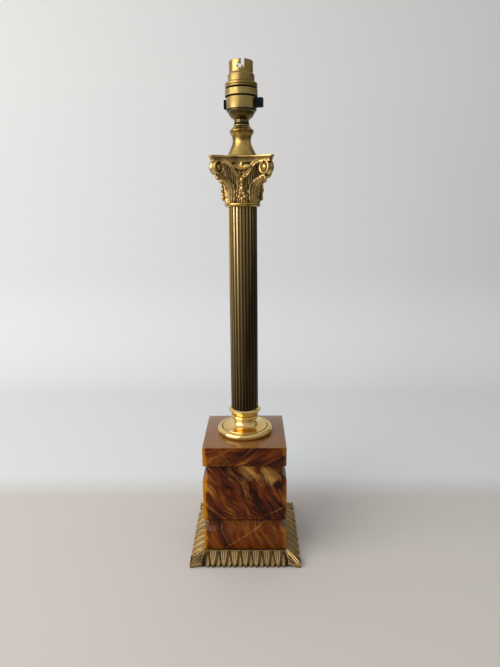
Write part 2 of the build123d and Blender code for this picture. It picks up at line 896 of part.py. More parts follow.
with BuildPart() as vase_neck:
    with BuildSketch(Plane.XZ):
        with BuildLine():
            foot = Polyline(
                (vase_foot_radius, capital_top_z), (vase_foot_radius, capital_top_z + vase_foot_height)
            )
            skirt = ThreePointArc(
                foot @ 1,
                (vase_waist_radius + vase_skirt_bulge, waist_z - vase_skirt_drop),
                (vase_waist_radius, waist_z),
            )
            rise = ThreePointArc(
                skirt @ 1,
                (vase_waist_radius + vase_rise_bulge, waist_z + vase_rise_height),
                (vase_bead_radius - vase_bead_root, bead_z - vase_bead_half_height),
            )
            bead = Polyline(
                rise @ 1,
                (vase_bead_radius, bead_z - 0.4 * vase_bead_half_height),
                (vase_bead_radius, bead_z + 0.4 * vase_bead_half_height),
                (vase_bead_radius - vase_bead_root, bead_z + vase_bead_half_height),
            )
            crown = ThreePointArc(
                bead @ 1,
                (vase_top_radius + vase_crown_bulge, bead_z + vase_crown_height),
                (vase_top_radius, vase_top_z),
            )
            Polyline(
                crown @ 1,
                (rod_hole_radius, vase_top_z),
                (rod_hole_radius, vase_top_z - vase_web),
                (vase_waist_radius - spun_wall, vase_top_z - vase_web),
                (vase_waist_radius - spun_wall, waist_z),
            )
            Polyline(
                (vase_waist_radius - spun_wall, waist_z),
                (vase_waist_radius + vase_skirt_bulge - spun_wall, waist_z - vase_skirt_drop),
                (vase_foot_radius - spun_wall, capital_top_z),
                (vase_foot_radius, capital_top_z),
            )
        make_face()
    revolve(axis=Axis.Z)
vase_neck.part.label = "vase_neck"
export_step(vase_neck.part, "parts/vase_neck.step")

with BuildPart() as neck_washer:
    with BuildSketch(Plane.XY.offset(vase_top_z)):
        Circle(washer_radius)
        Circle(rod_hole_radius, mode=Mode.SUBTRACT)
    extrude(amount=washer_thickness)
neck_washer.part.label = "neck_washer"
export_step(neck_washer.part, "parts/neck_washer.step")


# ---------------------------------------------------------------- lampholder cap and switch body
dome_z = cap_z + cap_entry_height
dome_top_z = dome_z + cap_dome_height
inner_floor_z = dome_z + cap_floor
thread_radius = rod_radius + thread_clearance
inner_dome_radius = cap_dome_radius - cap_dome_bulge - cap_dome_wall

with BuildPart() as lampholder_cap:
    with BuildSketch(Plane.XZ):
        with BuildLine():
            Polyline((thread_radius, cap_z), (cap_entry_radius, cap_z), (cap_entry_radius, dome_z))
            dome = ThreePointArc(
                (cap_entry_radius, dome_z),
                (cap_dome_radius - cap_dome_bulge, dome_z + cap_dome_share * cap_dome_height),
                (cap_dome_radius, dome_top_z),
            )
            Polyline(
                dome @ 1,
                (cap_radius, switch_z - cap_rim_height),
                (cap_radius, switch_z),
                (cap_seat_radius, switch_z),
                (cap_seat_radius, dome_top_z),
            )
            Polyline(
                (cap_seat_radius, dome_top_z),
                (inner_dome_radius, dome_z + cap_dome_share * cap_dome_height),
                (cap_entry_radius, inner_floor_z),
                (thread_radius, inner_floor_z),
                (thread_radius, cap_z),
            )
        make_face()
    revolve(axis=Axis.Z)
lampholder_cap.part.label = "lampholder_cap"
export_step(lampholder_cap.part, "parts/lampholder_cap.step")

bar_z = switch_z + bar_centre_height
bar_axis = Plane(
    origin=(0, 0, bar_z), x_dir=Vector(0, 0, 1), z_dir=Vector(1, 0, 0).rotate(Axis.Z, bar_azimuth)
)
switch_bore = switch_radius - switch_wall
spigot_bore = spigot_radius - switch_wall

with BuildPart() as switch_body:
    with BuildSketch(Plane.XZ):
        with BuildLine():
            Polyline(
                (switch_bore, switch_z),
                (switch_radius, switch_z),
                (switch_radius, switch_top_z),
                (spigot_radius, switch_top_z),
                (spigot_radius, spigot_top_z),
                (spigot_bore, spigot_top_z),
                (spigot_bore, switch_top_z - switch_wall),
                (switch_bore, switch_top_z - switch_wall),
                close=True,
            )
        make_face()
    revolve(axis=Axis.Z)
    with BuildSketch(bar_axis):
        Rectangle(bar_height + 2 * window_clearance, bar_width + 2 * window_clearance)
    extrude(amount=2 * switch_radius, both=True, mode=Mode.SUBTRACT)
switch_body.part.label = "switch_body"
export_step(switch_body.part, "parts/switch_body.step")


# ---------------------------------------------------------------- push-through switch
moulding_radius = switch_bore - moulding_clearance
moulding_neck_radius = spigot_bore - moulding_clearance
bar_foot_z = bar_z - bar_height / 2
bar_top_z = bar_z + bar_height / 2
channel_floor_z = bar_foot_z - bar_clearance
channel_roof_z = bar_top_z + bar_clearance
plunger_azimuth = slot_azimuth + 90
plunger_places = [
    Vector(hand * plunger_spacing / 2, 0, 0).rotate(Axis.Z, plunger_azimuth) for hand in (-1, 1)
]


def along_bar(z):
    """Level plane with X along the push bar."""
    return Plane(origin=(0, 0, z), x_dir=Vector(1, 0, 0).rotate(Axis.Z, bar_azimuth), z_dir=(0, 0, 1))


with BuildPart() as switch_moulding:
    with BuildSketch(Plane.XY.offset(switch_z)):
        Circle(moulding_radius)
    extrude(amount=switch_height - switch_wall)
    with BuildSketch(Plane.XY.offset(switch_z)):
        Circle(moulding_neck_radius)
    extrude(amount=spigot_top_z - switch_z)
    # channel for the bar, with the stop that its notch runs over
    with BuildSketch(bar_axis):
        Rectangle(bar_height + 2 * bar_clearance, bar_width + 2 * bar_clearance)
    extrude(amount=2 * switch_radius, both=True, mode=Mode.SUBTRACT)
    with BuildSketch(along_bar(channel_floor_z)):
        Rectangle(bar_stop_length, bar_width + 2 * bar_clearance)
    extrude(amount=bar_stop_height)
    # bores for the contact studs
    with BuildSketch(along_bar(channel_roof_z)):
        with GridLocations(stud_spacing, 0, 2, 1):
            Circle(stud_radius + stud_clearance)
    extrude(amount=spigot_top_z - channel_roof_z, mode=Mode.SUBTRACT)
switch_moulding.part.label = "switch_moulding"
export_step(switch_moulding.part, "parts/switch_moulding.step")

with BuildPart() as push_bar:
    with BuildSketch(bar_axis.offset(-bar_short_reach)):
        RectangleRounded(bar_height, bar_width, bar_corner)
    extrude(amount=bar_long_reach + bar_short_reach)
    # notch over the stop, as long as the stop and the travel together
    with BuildSketch(along_bar(bar_foot_z)):
        with Locations((bar_travel / 2, 0)):
            Rectangle(bar_stop_length + bar_travel + 2 * bar_clearance, bar_width)
    extrude(amount=bar_stop_height + bar_clearance, mode=Mode.SUBTRACT)
    # recess for the bridge
    with BuildSketch(along_bar(bar_top_z)):
        Rectangle(bridge_length + 2 * bridge_clearance, bridge_width + 2 * bridge_clearance)
    extrude(amount=-bridge_thickness, mode=Mode.SUBTRACT)
push_bar.part.label = "push_bar"
export_step(push_bar.part, "parts/push_bar.step")

with BuildPart() as contact_bridge:
    with BuildSketch(along_bar(bar_top_z - bridge_thickness)):
        SlotOverall(bridge_length, bridge_width)
    extrude(amount=bridge_thickness)
contact_bridge.part.label = "contact_bridge"
export_step(contact_bridge.part, "parts/contact_bridge.step")

with BuildPart() as fixed_contacts:
    with BuildSketch(along_bar(channel_roof_z)):
        with GridLocations(stud_spacing, 0, 2, 1):
            Circle(stud_radius)
    extrude(amount=spigot_top_z - channel_roof_z)
fixed_contacts.part.label = "fixed_contacts"
export_step(fixed_contacts.part, "parts/fixed_contacts.step")


# ---------------------------------------------------------------- terminals under the moulding
terminal_foot_z = switch_z - terminal_height
screw_foot_z = terminal_foot_z - terminal_screw_proud

with BuildPart() as line_terminals:
    with BuildSketch(along_bar(switch_z)):
        with GridLocations(2 * terminal_offset, 0, 2, 1):
            Rectangle(terminal_size, terminal_size)
    extrude(amount=-terminal_height)
    with BuildSketch(along_bar(terminal_foot_z)):
        with GridLocations(2 * terminal_offset, 0, 2, 1):
            Circle(terminal_screw_radius + thread_clearance)
    extrude(amount=terminal_screw_length - terminal_screw_proud, mode=Mode.SUBTRACT)
line_terminals.part.label = "line_terminals"
export_step(line_terminals.part, "parts/line_terminals.step")

with BuildPart() as terminal_screws:
    with BuildSketch(along_bar(screw_foot_z)):
        with GridLocations(2 * terminal_offset, 0, 2, 1):
            Circle(terminal_screw_radius)
    extrude(amount=terminal_screw_length)
terminal_screws.part.label = "terminal_screws"
export_step(terminal_screws.part, "parts/terminal_screws.step")

with BuildPart() as earth_terminal:
    with BuildSketch(along_bar(switch_z)):
        with Locations((0, terminal_offset)):
            Circle(earth_post_radius)
    extrude(amount=-terminal_height)
earth_terminal.part.label = "earth_terminal"
export_step(earth_terminal.part, "parts/earth_terminal.step")


# ---------------------------------------------------------------- rings
ring_bore = spigot_radius + turn_clearance
lip_bore = barrel_radius + turn_clearance
lip_z = flange_top_z + flange_clearance
shade_ring_top_z = shade_ring_z + shade_ring_height

with BuildPart() as union_ring:
    with BuildSketch(Plane.XZ):
        with BuildLine():
            Polyline(
                (ring_bore, union_z),
                (union_radius - union_bevel, union_z),
                (union_radius, union_z + union_bevel),
                (union_radius, union_top_z - union_bevel),
                (union_radius - union_bevel, union_top_z),
                (lip_bore, union_top_z),
                (lip_bore, lip_z),
                (ring_bore, lip_z),
                close=True,
            )
        make_face()
    revolve(axis=Axis.Z)
union_ring.part.label = "union_ring"
export_step(union_ring.part, "parts/union_ring.step")

groove_z = shade_ring_z + 0.45 * (shade_ring_height - shade_ring_bevel)
bevel_z = shade_ring_top_z - shade_ring_bevel

with BuildPart() as shade_ring:
    with BuildSketch(Plane.XZ):
        with BuildLine():
            Polyline(
                (shade_ring_step_radius, shade_ring_z),
                (shade_ring_radius, shade_ring_z + shade_ring_groove / 2),
                (shade_ring_radius, groove_z - shade_ring_groove / 2),
                (shade_ring_step_radius, groove_z),
                (shade_ring_radius, groove_z + shade_ring_groove / 2),
                (shade_ring_radius, bevel_z),
                (lip_bore + shade_ring_bevel, shade_ring_top_z),
                (lip_bore, shade_ring_top_z),
                (lip_bore, shade_ring_z),
                close=True,
            )
        make_face()
    revolve(axis=Axis.Z)
shade_ring.part.label = "shade_ring"
export_step(shade_ring.part, "parts/shade_ring.step")


# ---------------------------------------------------------------- barrel with its bayonet slots
barrel_upper_radius = socket_radius + barrel_wall
barrel_bore = barrel_radius - barrel_wall
slot_turns = (slot_azimuth, slot_azimuth + 180)

with BuildPart() as lampholder_barrel:
    with BuildSketch(Plane.XZ):
        with BuildLine():
            Polyline(
                (barrel_bore, spigot_top_z),
                (spigot_radius - flange_clearance, spigot_top_z),
                (spigot_radius - flange_clearance, flange_top_z),
                (barrel_thread_radius, flange_top_z),
                (barrel_thread_radius, shade_ring_top_z),
                (barrel_radius, shade_ring_top_z),
                (barrel_radius, shoulder_z),
                (barrel_upper_radius, socket_z),
                (barrel_upper_radius, barrel_top_z),
                (socket_radius, barrel_top_z),
                (socket_radius, socket_z),
                (barrel_bore, shoulder_z),
                close=True,
            )
        make_face()
    revolve(axis=Axis.Z)
    rim = lampholder_barrel.faces().sort_by(Axis.Z)[-1]
    chamfer(rim.edges().sort_by(SortBy.RADIUS)[-1], barrel_rim_chamfer)
    # slots run down from the rim, along to the left and up into a hook
    with BuildSketch(*[upright(turn, 0, barrel_top_z) for turn in slot_turns]):
        with Locations((0, -slot_depth / 2)):
            Rectangle(slot_width, slot_depth)
        with Locations((-slot_run / 2, slot_width / 2 - slot_depth)):
            Rectangle(slot_run, slot_width)
        with Locations(
            (-slot_run, slot_width / 2 - slot_depth),
            (-slot_run, slot_width / 2 + slot_hook - slot_depth),
        ):
            Circle(slot_width / 2)
    extrude(amount=2 * barrel_radius, mode=Mode.SUBTRACT)
lampholder_barrel.part.label = "lampholder_barrel"
export_step(lampholder_barrel.part, "parts/lampholder_barrel.step")


# ---------------------------------------------------------------- sprung plungers and their carrier
carrier_top_z = spigot_top_z + carrier_height
spring_z = spigot_top_z + carrier_floor
flange_z = carrier_top_z - carrier_roof - plunger_clearance
plunger_tip_z = socket_z - plunger_tip_gap
spring_top_z = flange_z - plunger_flange_thickness
spring_mean_radius = plunger_flange_radius - spring_clearance - spring_wire / 2
spring_rise = spring_top_z - spring_z - spring_wire

with BuildPart() as plunger_carrier:
    with BuildSketch(Plane.XY.offset(spigot_top_z)):
        Circle(barrel_bore - carrier_clearance)
    extrude(amount=carrier_height)
    with BuildSketch(Plane.XY.offset(spring_z)):
        with Locations(*plunger_places):
            Circle(plunger_flange_radius + plunger_clearance)
    extrude(amount=carrier_height - carrier_floor - carrier_roof, mode=Mode.SUBTRACT)
    with BuildSketch(Plane.XY.offset(spring_z)):
        with Locations(*plunger_places):
            Circle(plunger_radius + plunger_clearance)
    extrude(amount=carrier_height - carrier_floor, mode=Mode.SUBTRACT)
plunger_carrier.part.label = "plunger_carrier"
export_step(plunger_carrier.part, "parts/plunger_carrier.step")


def plunger(place):
    """Contact pin with the flange that its spring pushes up under the roof of the carrier."""
    with BuildPart() as pin:
        with BuildSketch(Plane.XY.offset(spring_top_z)):
            with Locations(place):
                Circle(plunger_flange_radius)
        extrude(amount=plunger_flange_thickness)
        with BuildSketch(Plane.XY.offset(spring_top_z)):
            with Locations(place):
                Circle(plunger_radius)
        extrude(amount=plunger_tip_z - spring_top_z)
        chamfer(pin.faces().sort_by(Axis.Z)[-1].edges(), plunger_tip_chamfer)
    return pin


def plunger_spring(place):
    """Coil spring between the floor of its bore and the plunger's flange."""
    foot = Vector(place.X, place.Y, spring_z + spring_wire / 2)
    with BuildPart() as spring:
        with BuildLine():
            coil = Helix(spring_rise / spring_turns, spring_rise, spring_mean_radius, center=foot)
        with BuildSketch(Plane(origin=coil @ 0, x_dir=(1, 0, 0), z_dir=coil % 0)):
            Rectangle(spring_wire, spring_wire)
        sweep(is_frenet=True)
    return spring


plunger_left = plunger(plunger_places[0])
plunger_left.part.label = "plunger_left"
export_step(plunger_left.part, "parts/plunger_left.step")

plunger_right = plunger(plunger_places[1])
plunger_right.part.label = "plunger_right"
export_step(plunger_right.part, "parts/plunger_right.step")

plunger_spring_left = plunger_spring(plunger_places[0])
plunger_spring_left.part.label = "plunger_spring_left"
export_step(plunger_spring_left.part, "parts/plunger_spring_left.step")

plunger_spring_right = plunger_spring(plunger_places[1])
plunger_spring_right.part.label = "plunger_spring_right"
export_step(plunger_spring_right.part, "parts/plunger_spring_right.step")
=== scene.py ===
"""Column table lamp: the visual model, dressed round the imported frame. Metres, +Z up."""

import logging
from dataclasses import dataclass
from enum import Enum
from math import cos, hypot, pi, radians, sin, sqrt, tau
from typing import Optional, Sequence, Union

import bmesh
import bpy
import numpy as np
from mathutils import Matrix, Vector


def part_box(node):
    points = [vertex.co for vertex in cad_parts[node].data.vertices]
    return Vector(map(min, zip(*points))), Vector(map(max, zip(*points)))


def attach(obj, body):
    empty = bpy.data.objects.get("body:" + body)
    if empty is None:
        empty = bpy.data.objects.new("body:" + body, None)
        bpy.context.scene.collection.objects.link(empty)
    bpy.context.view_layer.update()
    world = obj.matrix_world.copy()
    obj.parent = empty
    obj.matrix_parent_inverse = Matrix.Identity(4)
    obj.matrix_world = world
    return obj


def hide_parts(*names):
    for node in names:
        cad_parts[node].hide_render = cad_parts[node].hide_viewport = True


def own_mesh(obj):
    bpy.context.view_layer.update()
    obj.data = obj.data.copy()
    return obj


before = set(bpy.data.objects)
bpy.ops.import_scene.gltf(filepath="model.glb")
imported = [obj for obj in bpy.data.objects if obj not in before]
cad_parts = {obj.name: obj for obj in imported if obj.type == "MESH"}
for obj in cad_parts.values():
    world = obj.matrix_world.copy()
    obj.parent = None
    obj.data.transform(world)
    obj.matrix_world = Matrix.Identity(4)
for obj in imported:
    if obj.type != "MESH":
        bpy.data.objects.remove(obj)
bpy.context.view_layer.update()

MM = 0.001
METRE = 1000.0
ROOT = "root"
SIDES = 4
log = logging.getLogger("lamp")

Point = tuple[float, float]
Place = tuple[float, float, float]
Colour = tuple[float, float, float]
Table = tuple[tuple[float, ...], tuple[float, ...]]


# ---------------------------------------------------------------- shader graph
class Value:
    """A node's output that can stand in an arithmetic expression."""

    def __init__(self, graph: "Graph", socket: bpy.types.NodeSocket) -> None:
        """Wraps socket, a socket of graph's tree."""
        self.graph = graph
        self.socket = socket

    def _math(self, operation: str, first: "Number", second: "Number" = 0.0) -> "Value":
        """Adds one Math node.

        Args:
            operation: the Math node's operation.
            first: value or number of its first input.
            second: value or number of its second input.

        Returns:
            The node's output.
        """
        return self.graph.add("ShaderNodeMath", {"operation": operation}, {0: first, 1: second})

    def __add__(self, other: "Number") -> "Value":
        """self + other."""
        return self._math("ADD", self, other)

    __radd__ = __add__

    def __sub__(self, other: "Number") -> "Value":
        """self - other."""
        return self._math("SUBTRACT", self, other)

    def __rsub__(self, other: "Number") -> "Value":
        """other - self."""
        return self._math("SUBTRACT", other, self)

    def __mul__(self, other: "Number") -> "Value":
        """self * other."""
        return self._math("MULTIPLY", self, other)

    __rmul__ = __mul__

    def highest(self, other: "Number") -> "Value":
        """The larger of self and other."""
        return self._math("MAXIMUM", self, other)

    def lowest(self, other: "Number") -> "Value":
        """The smaller of self and other."""
        return self._math("MINIMUM", self, other)

    def size(self) -> "Value":
        """Absolute value of self."""
        return self._math("ABSOLUTE", self)


Number = Union[Value, float]


class Graph:
    """The node tree of one material, with short ways to add nodes to it."""

    def __init__(self, name: str) -> None:
        """Makes an empty material called name, with one Principled shader."""
        self.material = bpy.data.materials.new(name)
        self.material.use_nodes = True
        self.tree = self.material.node_tree
        self.shader = self.tree.nodes["Principled BSDF"]

    def add(
        self,
        kind: str,
        settings: Optional[dict] = None,
        inputs: Optional[dict] = None,
        output: Union[int, str] = 0,
    ) -> Value:
        """Adds a node.

        Args:
            kind: the node's type.
            settings: its properties, and "stops" for a ramp.
            inputs: its sockets by name or number, each a constant or a Value.
            output: the output to return.

        Returns:
            The chosen output.
        """
        node = self.tree.nodes.new(kind)
        for key, setting in (settings or {}).items():
            if key == "stops":
                self._set_stops(node.color_ramp, setting)
            else:
                setattr(node, key, setting)
        for key, source in (inputs or {}).items():
            self.feed(node.inputs[key], source)
        return Value(self, node.outputs[output])

    @staticmethod
    def _set_stops(ramp: bpy.types.ColorRamp, stops: Sequence[tuple]) -> None:
        """Gives ramp its stops, each a place and a grey level or a colour."""
        while len(ramp.elements) > 1:
            ramp.elements.remove(ramp.elements[-1])
        for index, (place, tone) in enumerate(stops):
            stop = ramp.elements[0] if index == 0 else ramp.elements.new(place)
            stop.position = place
            tone = (tone,) * 3 if isinstance(tone, (int, float)) else tone
            stop.color = (*tone, 1.0)

    def feed(self, socket: bpy.types.NodeSocket, source: object) -> None:
        """Links a Value to socket, or sets it to a constant.

        Args:
            socket: an input.
            source: a Value, a number, a colour or a vector.
        """
        if isinstance(source, Value):
            self.tree.links.new(source.socket, socket)
        elif isinstance(source, (tuple, list)) and socket.type == "RGBA":
            socket.default_value = (*source[:3], 1.0)
        else:
            socket.default_value = source

    def place(self, scale: Sequence[float] = (1, 1, 1)) -> Value:
        """Object coordinates, stretched by scale along each axis."""
        spot = self.add("ShaderNodeTexCoord", output="Object")
        return self.add("ShaderNodeMapping", inputs={"Vector": spot, "Scale": tuple(scale)})

    def axis(self, spot: Value, letter: str) -> Value:
        """One coordinate of spot: X, Y or Z."""
        return self.add("ShaderNodeSeparateXYZ", inputs={0: spot}, output=letter)

    def vector(self, operation: str, *terms: object, output: str = "Vector") -> Value:
        """Adds one Vector Math node.

        Args:
            operation: the node's operation.
            terms: its inputs, each a Value or a constant vector.
            output: Vector, or Value where the result is a number.

        Returns:
            The chosen output.
        """
        return self.add("ShaderNodeVectorMath", {"operation": operation}, dict(enumerate(terms)), output)

    def noise(self, spot: Value, scale: float, detail: float = 3.0, **inputs: object) -> Value:
        """Noise between 0 and 1.

        Args:
            spot: coordinates.
            scale: cells a metre.
            detail: octaves.
            inputs: further sockets of the Noise Texture.

        Returns:
            The noise's value.
        """
        sockets = {"Vector": spot, "Scale": scale, "Detail": detail, **inputs}
        return self.add("ShaderNodeTexNoise", inputs=sockets)

    def ramp(self, value: Value, *stops: tuple) -> Value:
        """Colour ramp of value through stops, each a place with a level or a colour."""
        return self.add("ShaderNodeValToRGB", {"stops": stops}, {0: value})

    def spread(self, value: Value, low: float, high: float, to: Point = (0.0, 1.0)) -> Value:
        """value's range from low to high, clamped and stretched to the two ends of to."""
        return self.add("ShaderNodeMapRange", inputs={0: value, 1: low, 2: high, 3: to[0], 4: to[1]})

    def mix(self, share: Number, first: object, second: object) -> Value:
        """Mixes two colours.

        Args:
            share: how much of the second.
            first: a colour.
            second: a colour.

        Returns:
            The mixed colour.
        """
        return self.add("ShaderNodeMix", {"data_type": "RGBA"}, {0: share, 6: first, 7: second}, output=2)

    def attribute(self, name: str) -> Value:
        """The mesh's own value called name."""
        return self.add("ShaderNodeAttribute", {"attribute_name": name}, output="Fac")

    def bump(self, height: Value, distance: float) -> None:
        """Sets the shader's normal from a height, whose 1 stands for distance in metres."""
        sockets = {"Height": height, "Distance": distance, "Strength": 1.0}
        self.feed(self.shader.inputs["Normal"], self.add("ShaderNodeBump", inputs=sockets))

    def finish(self, **inputs: object) -> bpy.types.Material:
        """Sets the shader's sockets, underscores for spaces, and returns the material."""
        for name, source in inputs.items():
            self.feed(self.shader.inputs[name.replace("_", " ")], source)
        return self.material


# ---------------------------------------------------------------- finishes
class Slot(Enum):
    """The record's material slots."""

    CAST_BRASS = "cast_brass"
    POLISHED_BRASS = "polished_brass"
    COLUMN_BRASS = "column_brass"
    SATIN_BRASS = "satin_brass"
    ONYX = "onyx"
    BLACK_PLASTIC = "black_plastic"
    INSULATOR = "moulded_insulator"
    FIBRE = "black_fibre"
    BAIZE = "baize"
    ZINC = "zinc_steel"


# How deep a point lies; the brass finishes darken deep points, as patina and as painted shade.
RECESS = "recess"


@dataclass(frozen=True)
class BrassFinish:
    """Brass, bright where it is handled and dark where dirt and lacquer stay; the dark in its hollows is
    partly patina and partly painted shade, and bands of painted shade can fill gaps between parts.
    """

    name: str
    bright: Colour
    dull: Colour
    grime_and_shade: Colour
    roughness: Point
    grime_and_shade_level: float = 0.85
    mottle: float = 0.5
    pitting: float = 0.00006
    brushed: bool = False
    shaded_gaps: tuple[Point, ...] = ()
    gap_shade: Colour = (0.006, 0.005, 0.003)
    stain: Colour = (0.085, 0.038, 0.009)
    stained: float = 0.0
    cloud_scale: float = 45.0
    speck_scale: float = 420.0
    grain_scale: float = 900.0
    brush_stretch: float = 26.0
    run_scale: float = 110.0
    run_stretch: float = 0.4
    raggedness: float = 0.35
    grime_roughness: float = 0.35
    grime_metal: float = 0.55
    gap_shade_metal: float = 0.4

    def material(self) -> bpy.types.Material:
        """Builds the material.

        Returns:
            A brass whose hollows, given by the mesh's recess value, are dark with patina and painted shade.
        """
        graph = Graph(self.name)
        spot = graph.place()
        cloud = graph.noise(spot, self.cloud_scale, 4.0)
        specks = graph.noise(spot, self.speck_scale)
        brushing = self.brush_stretch if self.brushed else 1
        grain = graph.noise(graph.place((1, 1, brushing)), self.grain_scale, 2.0)
        tone = graph.mix(graph.spread(cloud, 0.35, 0.68, (0.0, self.mottle)), self.bright, self.dull)
        runs = graph.noise(graph.place((1, 1, self.run_stretch)), self.run_scale, 4.0)
        tone = graph.mix(graph.spread(runs, 0.45, 0.62, (0.0, self.stained)), tone, self.stain)
        # The hollows darken with patina and also with painted shade, where shade would fall in them.
        ragged = graph.attribute(RECESS) + (specks - 0.5) * self.raggedness
        grime_and_shade = graph.spread(ragged, 0.25, 0.95, (0.0, self.grime_and_shade_level))
        tone = graph.mix(grime_and_shade, tone, self.grime_and_shade)
        height = graph.axis(spot, "Z") if self.shaded_gaps else 0.0
        # Painted shade: a near-black band at each listed height, in the gaps between parts.
        for foot, head in self.shaded_gaps:
            middle, half = (foot + head) / 2 * MM, (head - foot) / 2 * MM
            gap_shade_band = graph.spread((height - middle).size(), half * 0.8, half, (1.0, 0.0))
            tone = graph.mix(gap_shade_band, tone, self.gap_shade)
            grime_and_shade = grime_and_shade.highest(gap_shade_band)
        rough = graph.spread(cloud, 0.3, 0.7, self.roughness) + grime_and_shade * self.grime_roughness
        graph.bump(specks * 0.7 + grain * 0.3, self.pitting)
        metallic = graph.spread(grime_and_shade, 0.0, 1.0, (1.0, self.gap_shade_metal if self.shaded_gaps else self.grime_metal))
        return graph.finish(Base_Color=tone, Roughness=rough, Metallic=metallic)


@dataclass(frozen=True)
class FlutedBrassFinish:
    """Aged brass of the column: polished fillets, and flutes gone nearly black; painted shade darkens its
    right side, and it is darker towards the bottom.
    """

    name: str
    fillet: Colour
    flute: Colour
    radius: float
    depth: float
    darkening: Colour = (0.018, 0.012, 0.006)
    darkening_heights: Point = (170.0, 400.0)
    streak_scale: float = 260.0
    streak_stretch: float = 0.04
    cloud_scale: float = 60.0
    cloud_stretch: float = 0.25
    darkening_by_height: Point = (0.9, 0.06)
    painted_shade_by_side: Point = (0.0, 0.7)
    darkening_limit: float = 0.93
    roughness: Point = (0.3, 0.62)
    streak_depth: float = 0.00003

    def material(self) -> bpy.types.Material:
        """Builds the material.

        Returns:
            A brass that darkens with the distance below the column's outer radius.
        """
        graph = Graph(self.name)
        spot = graph.place()
        flat = graph.vector("MULTIPLY", spot, (1, 1, 0))
        reach = graph.vector("LENGTH", flat, output="Value")
        streak = graph.noise(graph.place((1, 1, self.streak_stretch)), self.streak_scale)
        cloud = graph.noise(graph.place((1, 1, self.cloud_stretch)), self.cloud_scale)
        top, floor = self.radius * MM, (self.radius - self.depth) * MM
        hollow = graph.spread(reach, top - 0.00004, floor + 0.0002)
        worn = hollow + (streak - 0.5) * 0.3
        tone = graph.mix(graph.spread(worn, 0.05, 0.75), self.fillet, self.flute)
        # Painted shade on the right side (+X), away from the window, and a darkening towards the bottom.
        side, height = graph.axis(spot, "X"), graph.axis(spot, "Z")
        low, high = self.darkening_heights
        by_height = graph.spread(height, low * MM, high * MM, self.darkening_by_height)
        shade_by_side = graph.spread(side, -0.003, 0.012, self.painted_shade_by_side)
        tone = graph.mix((by_height + shade_by_side).lowest(self.darkening_limit), tone, self.darkening)
        tone = graph.mix(graph.spread(cloud, 0.45, 0.8, (0.0, 0.45)), tone, self.flute)
        rough = graph.spread(worn, 0.1, 0.9, self.roughness)
        graph.bump(streak, self.streak_depth)
        return graph.finish(Base_Color=tone, Roughness=rough, Metallic=1.0)


@dataclass(frozen=True)
class Layer:
    """Flat layer through a stone, in millimetres; it shows as a line on every face it meets."""

    normal: Place
    place: float
    half_width: float
    wander: float = 5.0

    def mask(self, graph: Graph, spot: Value, drift: Value) -> Value:
        """How much of the layer is at a point.

        Args:
            graph: the material's nodes.
            spot: object coordinates.
            drift: noise about 0.5 that bends the layer.

        Returns:
            1 in the layer's middle and 0 outside it.
        """
        along = graph.vector("DOT_PRODUCT", spot, self.normal, output="Value")
        off = along - self.place * MM + (drift - 0.5) * (self.wander * MM)
        return graph.spread(off.size(), 0.2 * self.half_width * MM, self.half_width * MM, (1.0, 0.0))


@dataclass(frozen=True)
class Patch:
    """Round patch of another tone in a stone, in millimetres."""

    centre: Place
    radius: float

    def mask(self, graph: Graph, spot: Value, drift: Value) -> Value:
        """How much of the patch is at a point, with its outline bent by drift."""
        middle = tuple(c * MM for c in self.centre)
        gap = graph.vector("DISTANCE", spot, middle, output="Value")
        worn = gap + (drift - 0.5) * (1.6 * self.radius * MM)
        return graph.spread(worn, 0.55 * self.radius * MM, self.radius * MM, (1.0, 0.0))


